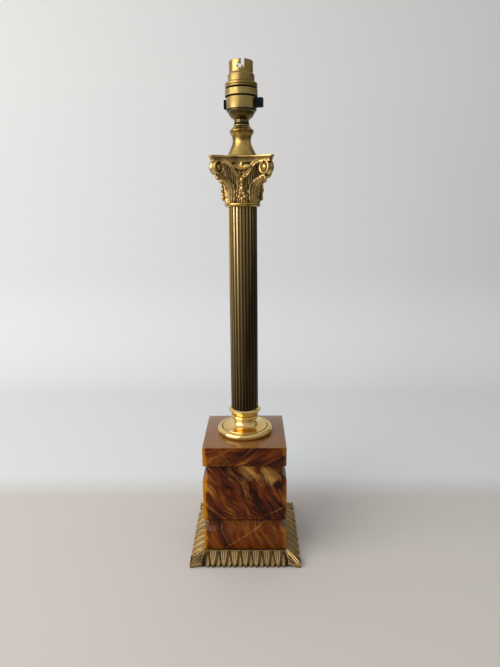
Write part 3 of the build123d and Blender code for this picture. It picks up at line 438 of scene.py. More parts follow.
@dataclass(frozen=True)
class OnyxFinish:
    """Polished brown onyx with flowing streaks, dark layers and cream healed cracks; with painted light and
    shade too: a glow on the vertical edges, a sheen on the top, shadow in the joints and a band of shade
    under the die.
    """

    name: str
    flow: float
    shades: tuple[Layer, ...] = ()
    seams: tuple[Layer, ...] = ()
    pale: tuple[Patch, ...] = ()
    sombre: tuple[Patch, ...] = ()
    lift: float = 0.0
    calm: float = 0.0
    waxed_and_sheen_above: float = 1000.0
    dark: Colour = (0.012, 0.002, 0.0006)
    maroon: Colour = (0.052, 0.0068, 0.0008)
    brown: Colour = (0.105, 0.020, 0.0015)
    golden: Colour = (0.185, 0.056, 0.004)
    painted_edge_glow: Colour = (0.50, 0.18, 0.006)
    cream: Colour = (0.42, 0.22, 0.055)
    # colour of the painted sheen on the top face
    top: Colour = (0.27, 0.125, 0.032)
    joints: tuple[float, ...] = (13.6, 53.0, 121.6)
    glow_reach: Point = (44.5, 47.5)
    refraction: float = 1.24
    roughness: Point = (0.07, 0.15)
    relief: float = 0.00005
    warp_scale: float = 13.0
    warp_reach: float = 0.042
    stretch: Place = (8, 4, 1)
    tilt: float = 8.0
    band_scale: float = 120.0
    streak_scale: float = 480.0
    drift_scale: float = 55.0
    grain_scale: float = 700.0

    def material(self) -> bpy.types.Material:
        """Builds the material.

        Returns:
            A glossy stone whose streaks run down by the flow's angle, seen from the front.
        """
        graph = Graph(self.name)
        spot = graph.place()
        coarse = {"Vector": spot, "Scale": self.warp_scale, "Detail": 3.0}
        warp = graph.add("ShaderNodeTexNoise", inputs=coarse, output="Color")
        pull = graph.vector("MULTIPLY_ADD", warp, (self.warp_reach,) * 3, spot)
        turn = (0, radians(self.flow), radians(self.tilt))
        flow = graph.add(
            "ShaderNodeMapping",
            {"vector_type": "TEXTURE"},
            {"Vector": pull, "Rotation": turn, "Scale": self.stretch},
        )
        bands = graph.noise(flow, self.band_scale, 6.0, Roughness=0.62, Distortion=0.3)
        streaks = graph.noise(flow, self.streak_scale, Roughness=0.7)
        drift = graph.noise(spot, self.drift_scale)
        grain = graph.noise(spot, self.grain_scale, 2.0)
        level = (bands * 0.66 + streaks * 0.34 - 0.5) * (1.0 - self.calm) + (0.5 + self.lift)
        tone = graph.ramp(
            level,
            (0.39, self.dark),
            (0.46, self.maroon),
            (0.515, self.brown),
            (0.585, self.golden),
            (0.70, self.cream),
        )
        # Dark layers through the stone; the level band on the lower block is painted shade under the die.
        for layer in self.shades:
            veil = layer.mask(graph, spot, drift) * graph.spread(bands, 0.72, 0.5)
            tone = graph.mix(veil * 0.9, tone, self.dark)
        for patch in self.pale:
            veil = patch.mask(graph, spot, drift) * graph.spread(bands, 0.36, 0.56)
            tone = graph.mix(veil * 0.62, tone, self.cream)
        for patch in self.sombre:
            tone = graph.mix(patch.mask(graph, spot, drift) * 0.9, tone, self.dark)
        # Painted light: an amber glow near the vertical edges, stronger on the left, where light would pass
        # through the stone.
        across, deep = graph.axis(spot, "X"), graph.axis(spot, "Y")
        near_edge = across.size().lowest(deep.size()) + (drift - 0.5) * 0.008 + (bands - 0.5) * 0.012
        lit = graph.spread(across, -0.02, 0.02, (1.0, 0.4))
        inner, outer = self.glow_reach
        edge = graph.spread(near_edge, inner * MM, outer * MM) * lit
        tone = graph.mix(edge * 0.8, tone, self.painted_edge_glow)
        line = 0.0
        for seam in self.seams:
            line = seam.mask(graph, spot, drift) * graph.spread(grain * 0.4 + drift, 0.6, 0.8) + line
        tone = graph.mix(line * 0.7, tone, self.cream)
        rough = graph.spread(grain, 0.3, 0.7, self.roughness) + line * 0.1
        graph.bump(grain * 0.3 + bands * 0.7, self.relief)
        height = graph.axis(spot, "Z")
        for joint in self.joints:
            shadow = graph.spread((height - joint * MM).size(), 0.0007, 0.0003)
            tone = graph.mix(shadow, tone, self.dark)
        # The top is painted lighter, a painted sheen, and also given a clear coat.
        waxed_and_sheen = graph.spread(height, (self.waxed_and_sheen_above - 0.5) * MM, self.waxed_and_sheen_above * MM)
        tone = graph.mix(waxed_and_sheen * 0.7, tone, self.top)
        coat = {"Coat_Weight": waxed_and_sheen * 0.5, "Coat_Roughness": 0.12}
        return graph.finish(Base_Color=tone, Roughness=rough, IOR=self.refraction, **coat)


@dataclass(frozen=True)
class MouldedFinish:
    """Moulded or pressed non-metal with a slight surface texture."""

    name: str
    tone: Colour
    worn: Colour
    roughness: Point
    texture_scale: float
    texture_depth: float
    gloss: float = 0.5
    cloud_scale: float = 80.0

    def material(self) -> bpy.types.Material:
        """Builds the material and returns it."""
        graph = Graph(self.name)
        spot = graph.place()
        cloud = graph.noise(spot, self.cloud_scale)
        grain = graph.noise(spot, self.texture_scale)
        tone = graph.mix(graph.spread(cloud, 0.4, 0.75), self.tone, self.worn)
        rough = graph.spread(grain, 0.3, 0.7, self.roughness)
        graph.bump(grain, self.texture_depth)
        return graph.finish(Base_Color=tone, Roughness=rough, Specular_IOR_Level=self.gloss)


@dataclass(frozen=True)
class ZincFinish:
    """Bright zinc plate with a faint crystalline mottle."""

    name: str
    light: Colour
    dark: Colour
    flake_scale: float = 500.0
    grain_scale: float = 1200.0
    grain_depth: float = 0.00003

    def material(self) -> bpy.types.Material:
        """Builds the material and returns it."""
        graph = Graph(self.name)
        spot = graph.place()
        sockets = {"Vector": spot, "Scale": self.flake_scale}
        flakes = graph.add("ShaderNodeTexVoronoi", {"feature": "F1"}, sockets, output="Color")
        grey = graph.add("ShaderNodeSeparateColor", inputs={0: flakes})
        tone = graph.mix(grey * 0.6, self.light, self.dark)
        graph.bump(graph.noise(spot, self.grain_scale), self.grain_depth)
        return graph.finish(Base_Color=tone, Roughness=0.3 + grey * 0.15, Metallic=1.0)


FINISHES: dict[Slot, object] = {
    Slot.CAST_BRASS: BrassFinish(
        "cast_brass",
        (0.74, 0.50, 0.18),
        (0.42, 0.275, 0.092),
        (0.02, 0.012, 0.005),
        (0.26, 0.4),
        stained=0.5,
    ),
    Slot.POLISHED_BRASS: BrassFinish(
        "polished_brass",
        (0.84, 0.575, 0.21),
        (0.66, 0.43, 0.14),
        (0.10, 0.055, 0.015),
        (0.1, 0.2),
        mottle=0.35,
        pitting=0.00003,
    ),
    Slot.COLUMN_BRASS: FlutedBrassFinish(
        "column_brass", (0.74, 0.54, 0.22), (0.13, 0.08, 0.033), 16.25, 0.85
    ),
    Slot.SATIN_BRASS: BrassFinish(
        "satin_brass",
        (0.50, 0.365, 0.125),
        (0.24, 0.145, 0.04),
        (0.12, 0.07, 0.03),
        (0.29, 0.43),
        mottle=0.75,
        stained=0.5,
        brushed=True,
        pitting=0.00002,
        # painted shade in the gaps under the union ring, under the shade ring and above the cap's rim
        shaded_gaps=((525.9, 527.7), (534.1, 535.9), (513.9, 514.7)),
    ),
    Slot.BLACK_PLASTIC: MouldedFinish(
        "black_plastic",
        (0.0012, 0.0045, 0.0085),
        (0.0035, 0.010, 0.017),
        (0.4, 0.5),
        900.0,
        0.00002,
        gloss=0.03,
    ),
    Slot.INSULATOR: MouldedFinish(
        "moulded_insulator", (0.02, 0.012, 0.009), (0.05, 0.03, 0.02), (0.4, 0.6), 1400.0, 0.00004
    ),
    Slot.FIBRE: MouldedFinish(
        "black_fibre",
        (0.002, 0.002, 0.002),
        (0.005, 0.005, 0.005),
        (0.6, 0.8),
        1600.0,
        0.00006,
        gloss=0.12,
    ),
    Slot.BAIZE: MouldedFinish(
        "baize", (0.01, 0.05, 0.025), (0.02, 0.08, 0.04), (0.85, 1.0), 2600.0, 0.0003
    ),
    Slot.ZINC: ZincFinish("zinc_steel", (0.6, 0.6, 0.58), (0.4, 0.4, 0.4)),
}

FOOT_BRASS = BrassFinish(
    "foot_brass",
    (0.45, 0.30, 0.12),
    (0.26, 0.17, 0.074),
    (0.022, 0.015, 0.008),
    (0.32, 0.48),
    grime_and_shade_level=0.97,
)
STONES = {
    "onyx_slab": OnyxFinish(
        "onyx_slab",
        -27.0,
        calm=0.15,
        shades=(Layer((-0.44, 0.0, 0.898), 123.5, 6.5),),
        seams=(Layer((0.851, 0.1, 0.525), 45.5, 0.5, 2.0),),
        waxed_and_sheen_above=144.7,
    ),
    "onyx_die": OnyxFinish(
        "onyx_die",
        53.0,
        shades=(Layer((0.785, 0.0, 0.619), 56.0, 8.5), Layer((0.785, 0.0, 0.619), 7.0, 9.0)),
        seams=(Layer((-0.483, 0.0, 0.875), 39.0, 0.7, 7.0),),
        pale=(Patch((4.0, -46.0, 115.0), 13.0), Patch((28.0, -46.0, 110.0), 15.0)),
        sombre=(Patch((39.0, -49.0, 97.0), 8.0), Patch((-24.0, -46.0, 117.0), 5.0)),
    ),
    "lower_onyx_block": OnyxFinish(
        "lower_onyx_block",
        62.0,
        # the level band at 50.5 mm is painted shade on the block's neck under the die
        shades=(Layer((0.93, 0.0, 0.37), -12.0, 8.0), Layer((0.0, 0.0, 1.0), 50.5, 3.5)),
        seams=(Layer((-0.57, 0.0, 0.82), 25.7, 0.7, 6.0),),
        lift=0.03,
        calm=0.42,
    ),
}

TURNED_BRASS = BrassFinish(
    "turned_brass",
    (0.56, 0.37, 0.11),
    (0.28, 0.165, 0.044),
    (0.06, 0.035, 0.012),
    (0.2, 0.34),
    stained=0.8,
)
# Darker copy of the lampholder's brass: painted shade on the dome, which faces down.
SHADED_DOME_BRASS = BrassFinish(
    "shaded_dome_brass",
    (0.17, 0.128, 0.048),
    (0.075, 0.054, 0.02),
    (0.03, 0.02, 0.01),
    (0.14, 0.24),
    stained=0.5,
)


# ---------------------------------------------------------------- meshes
@dataclass
class Shape:
    """Points in millimetres, faces, and a value for each point that says how deep it lies."""

    points: np.ndarray
    faces: list[tuple[int, ...]]
    recess: np.ndarray

    def joined(self, *others: "Shape") -> "Shape":
        """self and others as one shape."""
        points, faces, recess = [self.points], list(self.faces), [self.recess]
        count = len(self.points)
        for other in others:
            points.append(other.points)
            recess.append(other.recess)
            faces += [tuple(corner + count for corner in face) for face in other.faces]
            count += len(other.points)
        return Shape(np.vstack(points), faces, np.concatenate(recess))


def together(shapes: Sequence[Shape]) -> Shape:
    """All of the shapes as one."""
    return shapes[0].joined(*shapes[1:])


def grid_faces(rows: int, columns: int, wrap: bool = False) -> list[tuple[int, ...]]:
    """Quads of a grid of points.

    Args:
        rows: number of rows.
        columns: points in a row.
        wrap: whether the last column joins the first.

    Returns:
        The faces.
    """
    faces = []
    for low in range(0, (rows - 1) * columns, columns):
        high = low + columns
        for column in range(columns if wrap else columns - 1):
            after = (column + 1) % columns
            faces.append((low + column, low + after, high + after, high + column))
    return faces


def clamp(value: np.ndarray) -> np.ndarray:
    """value, kept between 0 and 1."""
    return np.clip(value, 0, 1)


def hump(offset: np.ndarray, width: float) -> np.ndarray:
    """Smooth hump: 1 where offset is 0, and nearly 0 beyond twice the width."""
    return np.exp(-((offset / width) ** 2))


def leaf_grid(rows: int, columns: int) -> tuple[np.ndarray, np.ndarray]:
    """Places on a leaf: 0 to 1 down its rows, and -1 to 1 across its columns."""
    return np.linspace(0, 1, rows)[:, None], np.linspace(-1, 1, columns)[None, :]


def lathe(profile: Sequence[Point], segments: int = 128, recess: Optional[Sequence[float]] = None) -> Shape:
    """Solid of revolution of a closed profile.

    Args:
        profile: (radius, height) round the section; a radius of 0 is on the axis.
        segments: sides of the circle.
        recess: how deep each point of the profile lies.

    Returns:
        The shape, closed.
    """
    angles = np.arange(segments) * tau / segments
    ring = np.stack([np.cos(angles), np.sin(angles)], 1)
    points = np.array([(radius * x, radius * y, height) for radius, height in profile for x, y in ring])
    count = len(profile)
    faces = grid_faces(count, segments, wrap=True)
    last = (count - 1) * segments
    faces += [(last + a, last + (a + 1) % segments, (a + 1) % segments, a) for a in range(segments)]
    depth = np.repeat(np.array(recess if recess is not None else [0.0] * count), segments)
    return Shape(points, faces, depth)


def arc(centre: Point, radius: Union[float, Point], start: float, end: float, steps: int) -> list[Point]:
    """Points along an arc, or part of an ellipse.

    Args:
        centre: its centre.
        radius: its radius, or its two half axes.
        start: first angle in degrees.
        end: last angle.
        steps: number of spans.

    Returns:
        steps + 1 points.
    """
    across, up = radius if isinstance(radius, tuple) else (radius, radius)
    angles = np.radians(np.linspace(start, end, steps + 1))
    return [(centre[0] + across * cos(a), centre[1] + up * sin(a)) for a in angles]


def smooth(points: Sequence[Sequence[float]], steps: int) -> np.ndarray:
    """Catmull-Rom curve through points, steps spans between each two."""
    knots = np.array(points, float)
    padded = np.vstack([2 * knots[0] - knots[1], knots, 2 * knots[-1] - knots[-2]])
    t = np.linspace(0, 1, steps, endpoint=False)[:, None]
    spans = []
    for a, b, c, d in zip(padded, padded[1:], padded[2:], padded[3:]):
        bend, twist = 2 * a - 5 * b + 4 * c - d, 3 * b - a - 3 * c + d
        spans.append(0.5 * (2 * b + (c - a) * t + bend * t**2 + twist * t**3))
    return np.vstack(spans + [knots[-1:]])


def curve(points: Sequence[Point], steps: int) -> list[Point]:
    """The smooth curve through points, as a part of a profile."""
    return [tuple(point) for point in smooth(points, steps)]


def raised(points: Sequence[Point], z: float) -> list[Point]:
    """Part of a profile, with z added to its heights."""
    return [(radius, z + height) for radius, height in points]


def midrib(knots: Sequence[Point], share: np.ndarray) -> tuple[np.ndarray, np.ndarray]:
    """Curve through knots, at shares of its length.

    Args:
        knots: reach and height of its points.
        share: 0 at its start to 1 at its end.

    Returns:
        Reach and height at each share, and the direction square to the curve, on its left.
    """
    line = smooth(knots, 24)
    lengths = np.concatenate([[0], np.cumsum(np.linalg.norm(np.diff(line, axis=0), axis=1))])
    lengths /= lengths[-1]
    spine = np.stack([np.interp(share, lengths, line[:, k]) for k in (0, 1)], 1)
    along = np.gradient(spine, axis=0)
    along /= np.linalg.norm(along, axis=1)[:, None]
    return spine, np.stack([-along[:, 1], along[:, 0]], 1)


def plate(front: np.ndarray, back: np.ndarray, recess: np.ndarray) -> Shape:
    """Closed solid between two grids of points that have the same edge.

    Args:
        front: rows x columns x 3, the side that shows.
        back: the same grid on the far side.
        recess: rows x columns, how deep each front point lies.

    Returns:
        The shape.
    """
    rows, columns = front.shape[:2]
    count = rows * columns
    faces = grid_faces(rows, columns)
    faces += [tuple(reversed([corner + count for corner in face])) for face in grid_faces(rows, columns)]
    rim = [(0, c) for c in range(columns)]
    rim += [(r, columns - 1) for r in range(1, rows)]
    rim += [(rows - 1, c) for c in range(columns - 2, -1, -1)]
    rim += [(r, 0) for r in range(rows - 2, 0, -1)]
    loop = [r * columns + c for r, c in rim]
    for this, after in zip(loop, loop[1:] + loop[:1]):
        faces.append((after, this, this + count, after + count))
    points = np.vstack([front.reshape(-1, 3), back.reshape(-1, 3)])
    return Shape(points, faces, np.concatenate([recess.ravel(), np.ones(count)]))


def sweep(path: np.ndarray, section: np.ndarray, sideways: np.ndarray, sizes: np.ndarray) -> Shape:
    """Solid swept along a path.

    Args:
        path: points of the path.
        section: closed outline, (sideways, outwards) for each point.
        sideways: direction across the path at each of its points.
        sizes: scale of the section at each point.

    Returns:
        The shape, closed at both ends.
    """
    along = np.gradient(path, axis=0)
    along /= np.linalg.norm(along, axis=1)[:, None]
    across = sideways - (sideways * along).sum(1)[:, None] * along
    across /= np.linalg.norm(across, axis=1)[:, None]
    outward = np.cross(across, along)
    points = path[:, None] + sizes[:, None, None] * (
        section[None, :, :1] * across[:, None] + section[None, :, 1:] * outward[:, None]
    )
    count = len(section)
    faces = grid_faces(len(path), count, wrap=True)
    faces.append(tuple(range(count - 1, -1, -1)))
    faces.append(tuple(range((len(path) - 1) * count, len(path) * count)))
    return Shape(points.reshape(-1, 3), faces, np.zeros(len(path) * count))


def make_piece(name: str, shape: Shape) -> bpy.types.Object:
    """Makes an object of a shape, at the origin, with its place in its mesh.

    Args:
        name: the piece's name.
        shape: what it is made of, in millimetres.

    Returns:
        The object, not yet on a body.
    """
    mesh = bpy.data.meshes.new(name)
    mesh.from_pydata((shape.points * MM).tolist(), [], shape.faces)
    depth = mesh.attributes.new(RECESS, "FLOAT", "POINT")
    depth.data.foreach_set("value", shape.recess.astype(np.float32))
    work = bmesh.new()
    work.from_mesh(mesh)
    bmesh.ops.remove_doubles(work, verts=work.verts, dist=1e-7)
    bmesh.ops.recalc_face_normals(work, faces=work.faces)
    work.to_mesh(mesh)
    work.free()
    piece = bpy.data.objects.new(name, mesh)
    bpy.context.scene.collection.objects.link(piece)
    shade(piece)
    return piece


def shade(piece: bpy.types.Object, sharp: float = 40.0) -> None:
    """Smooth shading with sharp edges beyond an angle in degrees."""
    piece.data.shade_smooth()
    piece.data.set_sharp_from_angle(angle=radians(sharp))


# ---------------------------------------------------------------- geometry nodes
class CopyTree:
    """Geometry Nodes tree that repeats the mesh it is given."""

    def __init__(self, name: str, inputs: dict[str, tuple[str, object]]) -> None:
        """Makes the tree.

        Args:
            name: the tree's name.
            inputs: the kind and first value of each named input.
        """
        self.tree = bpy.data.node_groups.new(name, "GeometryNodeTree")
        face = self.tree.interface
        face.new_socket("Geometry", in_out="INPUT", socket_type="NodeSocketGeometry")
        self.keys: dict[str, str] = {}
        for label, (kind, value) in inputs.items():
            socket = face.new_socket(label, in_out="INPUT", socket_type=kind)
            if value is not None:
                socket.default_value = value
            self.keys[label] = socket.identifier
        face.new_socket("Geometry", in_out="OUTPUT", socket_type="NodeSocketGeometry")
        self.entry = self.tree.nodes.new("NodeGroupInput")

    def add(
        self, kind: str, settings: Optional[dict] = None, inputs: Optional[dict] = None
    ) -> bpy.types.NodeSocket:
        """Adds a node.

        Args:
            kind: the node's type.
            settings: its properties.
            inputs: its sockets, each a constant or an output to link.

        Returns:
            Its first output.
        """
        node = self.tree.nodes.new(kind)
        for key, setting in (settings or {}).items():
            setattr(node, key, setting)
        for key, source in (inputs or {}).items():
            if isinstance(source, bpy.types.NodeSocket):
                self.tree.links.new(source, node.inputs[key])
            else:
                node.inputs[key].default_value = source
        return node.outputs[0]

    def maths(self, operation: str, *terms: object) -> bpy.types.NodeSocket:
        """Adds one Math node, whose terms are outputs or numbers."""
        return self.add("ShaderNodeMath", {"operation": operation}, dict(enumerate(terms)))

    def around(self, source: object, count: object, first: object) -> bpy.types.NodeSocket:
        """Sets copies evenly round the lamp's axis.

        Args:
            source: the output that gives what is copied.
            count: number of copies, an output or a number.
            first: turn of the first copy in radians, an output or a number.

        Returns:
            The copies.
        """
        points = self.add("GeometryNodeMeshLine", {"mode": "OFFSET"}, {"Count": count, "Offset": (0, 0, 0)})
        index = self.add("GeometryNodeInputIndex")
        turn = self.maths("MULTIPLY_ADD", index, self.maths("DIVIDE", tau, count), first)
        turns = self.add("ShaderNodeCombineXYZ", inputs={"Z": turn})
        sockets = {"Points": points, "Instance": source, "Rotation": turns}
        return self.add("GeometryNodeInstanceOnPoints", inputs=sockets)

    def close(self, instances: bpy.types.NodeSocket, weld: float) -> None:
        """Ends the tree: real copies, welded, with their material.

        Args:
            instances: the copies.
            weld: distance within which points merge, in metres.
        """
        real = self.add("GeometryNodeRealizeInstances", inputs={"Geometry": instances})
        welded = self.add("GeometryNodeMergeByDistance", inputs={"Geometry": real, "Distance": weld})
        sockets = {"Geometry": welded, "Material": self.entry.outputs["Material"]}
        dressed = self.add("GeometryNodeSetMaterial", inputs=sockets)
        exit_node = self.tree.nodes.new("NodeGroupOutput")
        self.tree.links.new(dressed, exit_node.inputs[0])

    def run(self, name: str, source: bpy.types.Object, **values: object) -> bpy.types.Object:
        """Repeats source and turns the result into a plain mesh.

        Args:
            name: name of the new piece.
            source: the object to repeat, which is deleted.
            values: the tree's inputs, underscores for spaces.

        Returns:
            The new piece.
        """
        modifier = source.modifiers.new("repeat", "NODES")
        modifier.node_group = self.tree
        for label, value in values.items():
            modifier[self.keys[label.replace("_", " ")]] = value
        bpy.context.view_layer.update()
        evaluated = source.evaluated_get(bpy.context.evaluated_depsgraph_get())
        mesh = bpy.data.meshes.new_from_object(evaluated)
        mesh.name = name
        source.modifiers.remove(modifier)
        bpy.data.objects.remove(source)
        piece = bpy.data.objects.new(name, mesh)
        bpy.context.scene.collection.objects.link(piece)
        shade(piece)
        return piece


def ring_tree() -> CopyTree:
    """Tree that sets copies evenly round the lamp's axis.

    Returns:
        The tree, with the inputs Copies, First Turn and Material.
    """
    made = CopyTree(
        "copies_round_axis",
        {
            "Copies": ("NodeSocketInt", 4),
            "First Turn": ("NodeSocketFloat", 0.0),
            "Material": ("NodeSocketMaterial", None),
        },
    )
    entry = made.entry.outputs
    made.close(made.around(entry["Geometry"], entry["Copies"], entry["First Turn"]), 1e-6)
    return made


def apron_tree() -> CopyTree:
    """Tree that sets a row of copies along each of four sides.

    Returns:
        The tree, with the inputs Copies, Pitch and Material.
    """
    made = CopyTree(
        "copies_on_four_sides",
        {
            "Copies": ("NodeSocketInt", 7),
            "Pitch": ("NodeSocketFloat", 0.0128),
            "Material": ("NodeSocketMaterial", None),
        },
    )
    entry = made.entry.outputs
    step = made.add("ShaderNodeCombineXYZ", inputs={"X": entry["Pitch"]})
    spans = made.maths("SUBTRACT", entry["Copies"], 1.0)
    half = made.maths("MULTIPLY", made.maths("MULTIPLY", spans, entry["Pitch"]), -0.5)
    start = made.add("ShaderNodeCombineXYZ", inputs={"X": half})
    sockets = {"Count": entry["Copies"], "Start Location": start, "Offset": step}
    line = made.add("GeometryNodeMeshLine", {"mode": "OFFSET"}, sockets)
    row = made.add("GeometryNodeInstanceOnPoints", inputs={"Points": line, "Instance": entry["Geometry"]})
    made.close(made.around(row, SIDES, 0.0), 2e-6)
    return made


# ---------------------------------------------------------------- workshop
class Workshop:
    """Materials and trees that the sub-assemblies share, and the ways to finish a piece with them."""

    def __init__(self) -> None:
        """Builds every material and tree."""
        self.materials = {slot: finish.material() for slot, finish in FINISHES.items()}
        self.stones = {node: finish.material() for node, finish in STONES.items()}
        self.turned = TURNED_BRASS.material()
        self.foot = FOOT_BRASS.material()
        self.shaded_dome = SHADED_DOME_BRASS.material()
        self.ring = ring_tree()
        self.apron = apron_tree()

    def dress(
        self,
        piece: bpy.types.Object,
        slot: Slot,
        node: str,
        material: Optional[bpy.types.Material] = None,
    ) -> None:
        """Gives a new piece its material and puts it on the lamp's fixed body.

        Args:
            piece: the object.
            slot: the record's slot that its finish belongs to.
            node: the CAD node that it stands for, alone or with other pieces.
            material: its material, if it isn't the slot's own.
        """
        piece.data.materials.clear()
        piece.data.materials.append(material or self.materials[slot])
        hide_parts(node)
        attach(piece, ROOT)
        log.info("%s: %d faces, for %s", piece.name, len(piece.data.polygons), node)

    def cast_four(
        self, name: str, shape: Shape, node: str, material: bpy.types.Material, turn: float = 0.0
    ) -> None:
        """Makes a cast piece of four copies of a shape, evenly round the lamp's axis.

        Args:
            name: the piece's name.
            shape: one of the four.
            node: the CAD node that it stands for.
            material: its material.
            turn: turn of the first copy, in radians.
        """
        source = make_piece(name + "_one", shape)
        piece = self.ring.run(name, source, Copies=SIDES, First_Turn=turn, Material=material)
        self.dress(piece, Slot.CAST_BRASS, node, material)

    def keep(self, slot: Slot, *nodes: str) -> None:
        """Gives carried-over CAD nodes the slot's material."""
        for node in nodes:
            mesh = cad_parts[node].data
            mesh.materials.clear()
            mesh.materials.append(self.materials[slot])
            log.info("%s: kept, %s", node, slot.value)


# ---------------------------------------------------------------- foot
@dataclass
class Foot:
    """Square brass casting: a flat top and a sloping apron of upright leaves."""

    base_z: float = 1.2
    rim_z: float = 2.4
    apron_z: float = 11.9
    top_z: float = 12.6
    plate_half: float = 49.75
    apron_half: float = 65.0
    border: float = 0.9
    leaves: int = 7
    pitch: float = 12.8
    leaf_length: float = 19.3
    leaf_thickness: float = 1.6
    dart_strip: float = 2.9
    cavity_inset: float = 4.0
    top_thickness: float = 3.0
    rim_wall: float = 1.6
    side_reach: float = 65.7
    front_reach: float = 66.85
    lowest_z: float = 0.25
    leaf_edge: Table = ((0, 0.12, 0.3, 0.5, 0.65, 0.8, 0.93, 1.0), (5.5, 5.6, 5.2, 4.5, 3.8, 2.8, 1.15, 0.3))
    dart_edge: Table = ((0.15, 0.3, 0.5, 0.65, 0.8, 0.9, 1.0), (0.0, 0.3, 1.0, 1.55, 1.95, 1.5, 0.5))
    leaf_tip: Table = ((0, 0.6, 1.1, 1.6, 2.2), (0.0, 0.25, 0.9, 2.0, 3.0))
    dart_tip: Table = ((0, 0.6, 1.1, 1.6, 2.2), (0.4, 0.65, 1.2, 2.2, 3.0))
    corner_knots: tuple[Point, ...] = (
        (69.0, 12.4),
        (75.0, 10.5),
        (81.0, 7.9),
        (86.0, 5.6),
        (90.0, 3.3),
        (92.3, 2.1),
    )
    corner_width: Table = ((0, 0.12, 0.35, 0.5, 0.57), (1.6, 3.2, 5.8, 9.0, 10.6))
    corner_ribs: Table = ((0, 0.5, 0.85, 1.0), (0.6, 1.5, 1.5, 0.2))
    corner_droop: Table = ((0, 0.15, 0.35, 0.7, 0.9, 1.0), (0.2, 1.5, 2.5, 2.6, 1.1, 0.1))
    corner_thickness: float = 2.3
    boss_profile: tuple[Point, ...] = ((5.15, -20.0), (5.15, -0.4), (4.75, 0.0), (4.05, 0.0), (4.05, -20.0))
    boss_z: float = 5.25
    boss_lift: float = 0.4
    tip_sag: float = 1.3
    front_clearance: float = 0.3
    tile_grid: tuple[int, int] = (37, 45)
    strip_columns: int = 13
    corner_grid: tuple[int, int] = (84, 73)
    corner_clearance: float = 0.7

    @property
    def run(self) -> float:
        """How far the apron reaches out."""
        return self.apron_half - self.plate_half

    @property
    def drop(self) -> float:
        """How far the apron comes down."""
        return self.apron_z - self.rim_z

    @property
    def slope(self) -> float:
        """Length of the apron down its slope."""
        return hypot(self.run, self.drop)

    def side_point(self, along: np.ndarray, down: np.ndarray, out: np.ndarray) -> np.ndarray:
        """Places points of the front side's slope.

        Args:
            along: distance from the middle of the side.
            down: distance down the slope from its top edge.
            out: distance above the slope.

        Returns:
            The points.
        """
        down_y, down_z = -self.run / self.slope, -self.drop / self.slope
        out_y, out_z = -self.drop / self.slope, self.run / self.slope
        y = -self.plate_half + down * down_y + out * out_y
        z = self.apron_z + down * down_z + out * out_z
        return np.stack([along, y, z], -1)

    def leaf_relief(self, along: np.ndarray, share: np.ndarray) -> tuple[np.ndarray, np.ndarray]:
        """Relief of one leaf and the two half darts beside it.

        Args:
            along: distance from the leaf's middle, up to half the pitch.
            share: 0 at the top of the slope to 1 at the tip.

        Returns:
            Height above the slope, and how deep each point lies.
        """
        half = self.pitch / 2
        away = np.abs(along)
        edge = np.interp(share, *self.leaf_edge)
        gap = away - edge
        ridge = hump(gap, 0.42)
        slit = hump(away - np.minimum(edge + 0.95, half), 0.42)
        inside = clamp((-gap - 0.25) / 0.5)
        veins = 0.5 + 0.5 * np.cos(tau * 2.0 * np.minimum(away / np.maximum(edge, 0.4), 1.0))
        trough = hump(gap + 0.95, 0.45) * inside
        dart_away = half - away
        dart_edge = np.interp(share, *self.dart_edge)
        below_border = clamp((share - 0.2) / 0.1)
        on_dart = clamp((dart_edge + 0.3 - dart_away) / 0.35) * below_border
        dart_ridge = hump(dart_away - dart_edge, 0.3) * below_border
        beyond = clamp((gap - 0.5) / 0.4) * (1 - on_dart)
        deepening = clamp((share - 0.2) * 6)
        beads = hump(share - 0.965, 0.035) * (hump(away, 0.85) + hump(dart_away, 0.85))
        height = (
            1.2 * ridge
            - 1.3 * slit * (1 - on_dart)
            - 0.45 * beyond * deepening
            + inside * (-0.4 + 0.35 * veins)
            - 0.3 * trough
            + on_dart * 0.4
            + 0.5 * dart_ridge
            + 0.75 * beads
        )
        fade = clamp(share / 0.04)
        low = slit * (1 - on_dart) + beyond * deepening
        depth = low + inside * (0.72 - 0.5 * veins) + 0.3 * trough + on_dart * (0.55 - 0.5 * dart_ridge)
        depth = clamp(depth) * (1 - ridge) * (1 - clamp(beads))
        return height * fade, depth * fade

    def tip_line(self, away: np.ndarray) -> np.ndarray:
        """How far down the slope the leaves and darts hang, by distance from a leaf's middle."""
        half = self.pitch / 2
        leaf, dart = np.interp(away, *self.leaf_tip), np.interp(half - away, *self.dart_tip)
        return self.leaf_length - np.minimum(leaf, dart)

    def apron_patch(self, along: np.ndarray, centre: float) -> Shape:
        """Part of the front side's apron, from the border down to the scalloped tips.

        Args:
            along: distances from the middle of a leaf, from left to right.
            centre: where along the side the middle of that leaf is.

        Returns:
            The shape, closed.
        """
        folded = np.minimum(np.abs(along), self.pitch - np.abs(along))
        reach = self.tip_line(folded)
        part = np.linspace(0, 1, self.tile_grid[0])[:, None]
        down = self.border + part * (reach[None, :] - self.border)
        share = down / self.leaf_length
        height, depth = self.leaf_relief(np.broadcast_to(folded, down.shape), share)
        lift = 0.5 + 0.35 * np.sin(pi * share) - 0.35 * share**3
        place = np.broadcast_to(along + centre, down.shape)
        front = self.side_point(place, down, lift + height)
        back = self.side_point(place, down, np.full_like(height, -self.leaf_thickness))
        for side, floor in ((front, self.lowest_z + self.front_clearance), (back, self.lowest_z)):
            side[..., 2] = np.maximum(side[..., 2] - self.tip_sag * share**6, floor)
            side[..., 1] = np.maximum(side[..., 1], -self.front_reach)
        return plate(front, back, depth)

    def leaf_tile(self) -> Shape:
        """One pitch of the apron's front side: a leaf and the two half darts beside it."""
        half = self.pitch / 2
        return self.apron_patch(np.linspace(-half, half, self.tile_grid[1]), 0.0)

    def end_strips(self) -> Shape:
        """Outer halves of the last two darts of the front side."""
        half = self.pitch / 2
        last = half * (self.leaves - 1)
        outer = np.linspace(half, half + self.dart_strip, self.strip_columns)
        return self.apron_patch(outer, last).joined(self.apron_patch(-outer[::-1], -last))

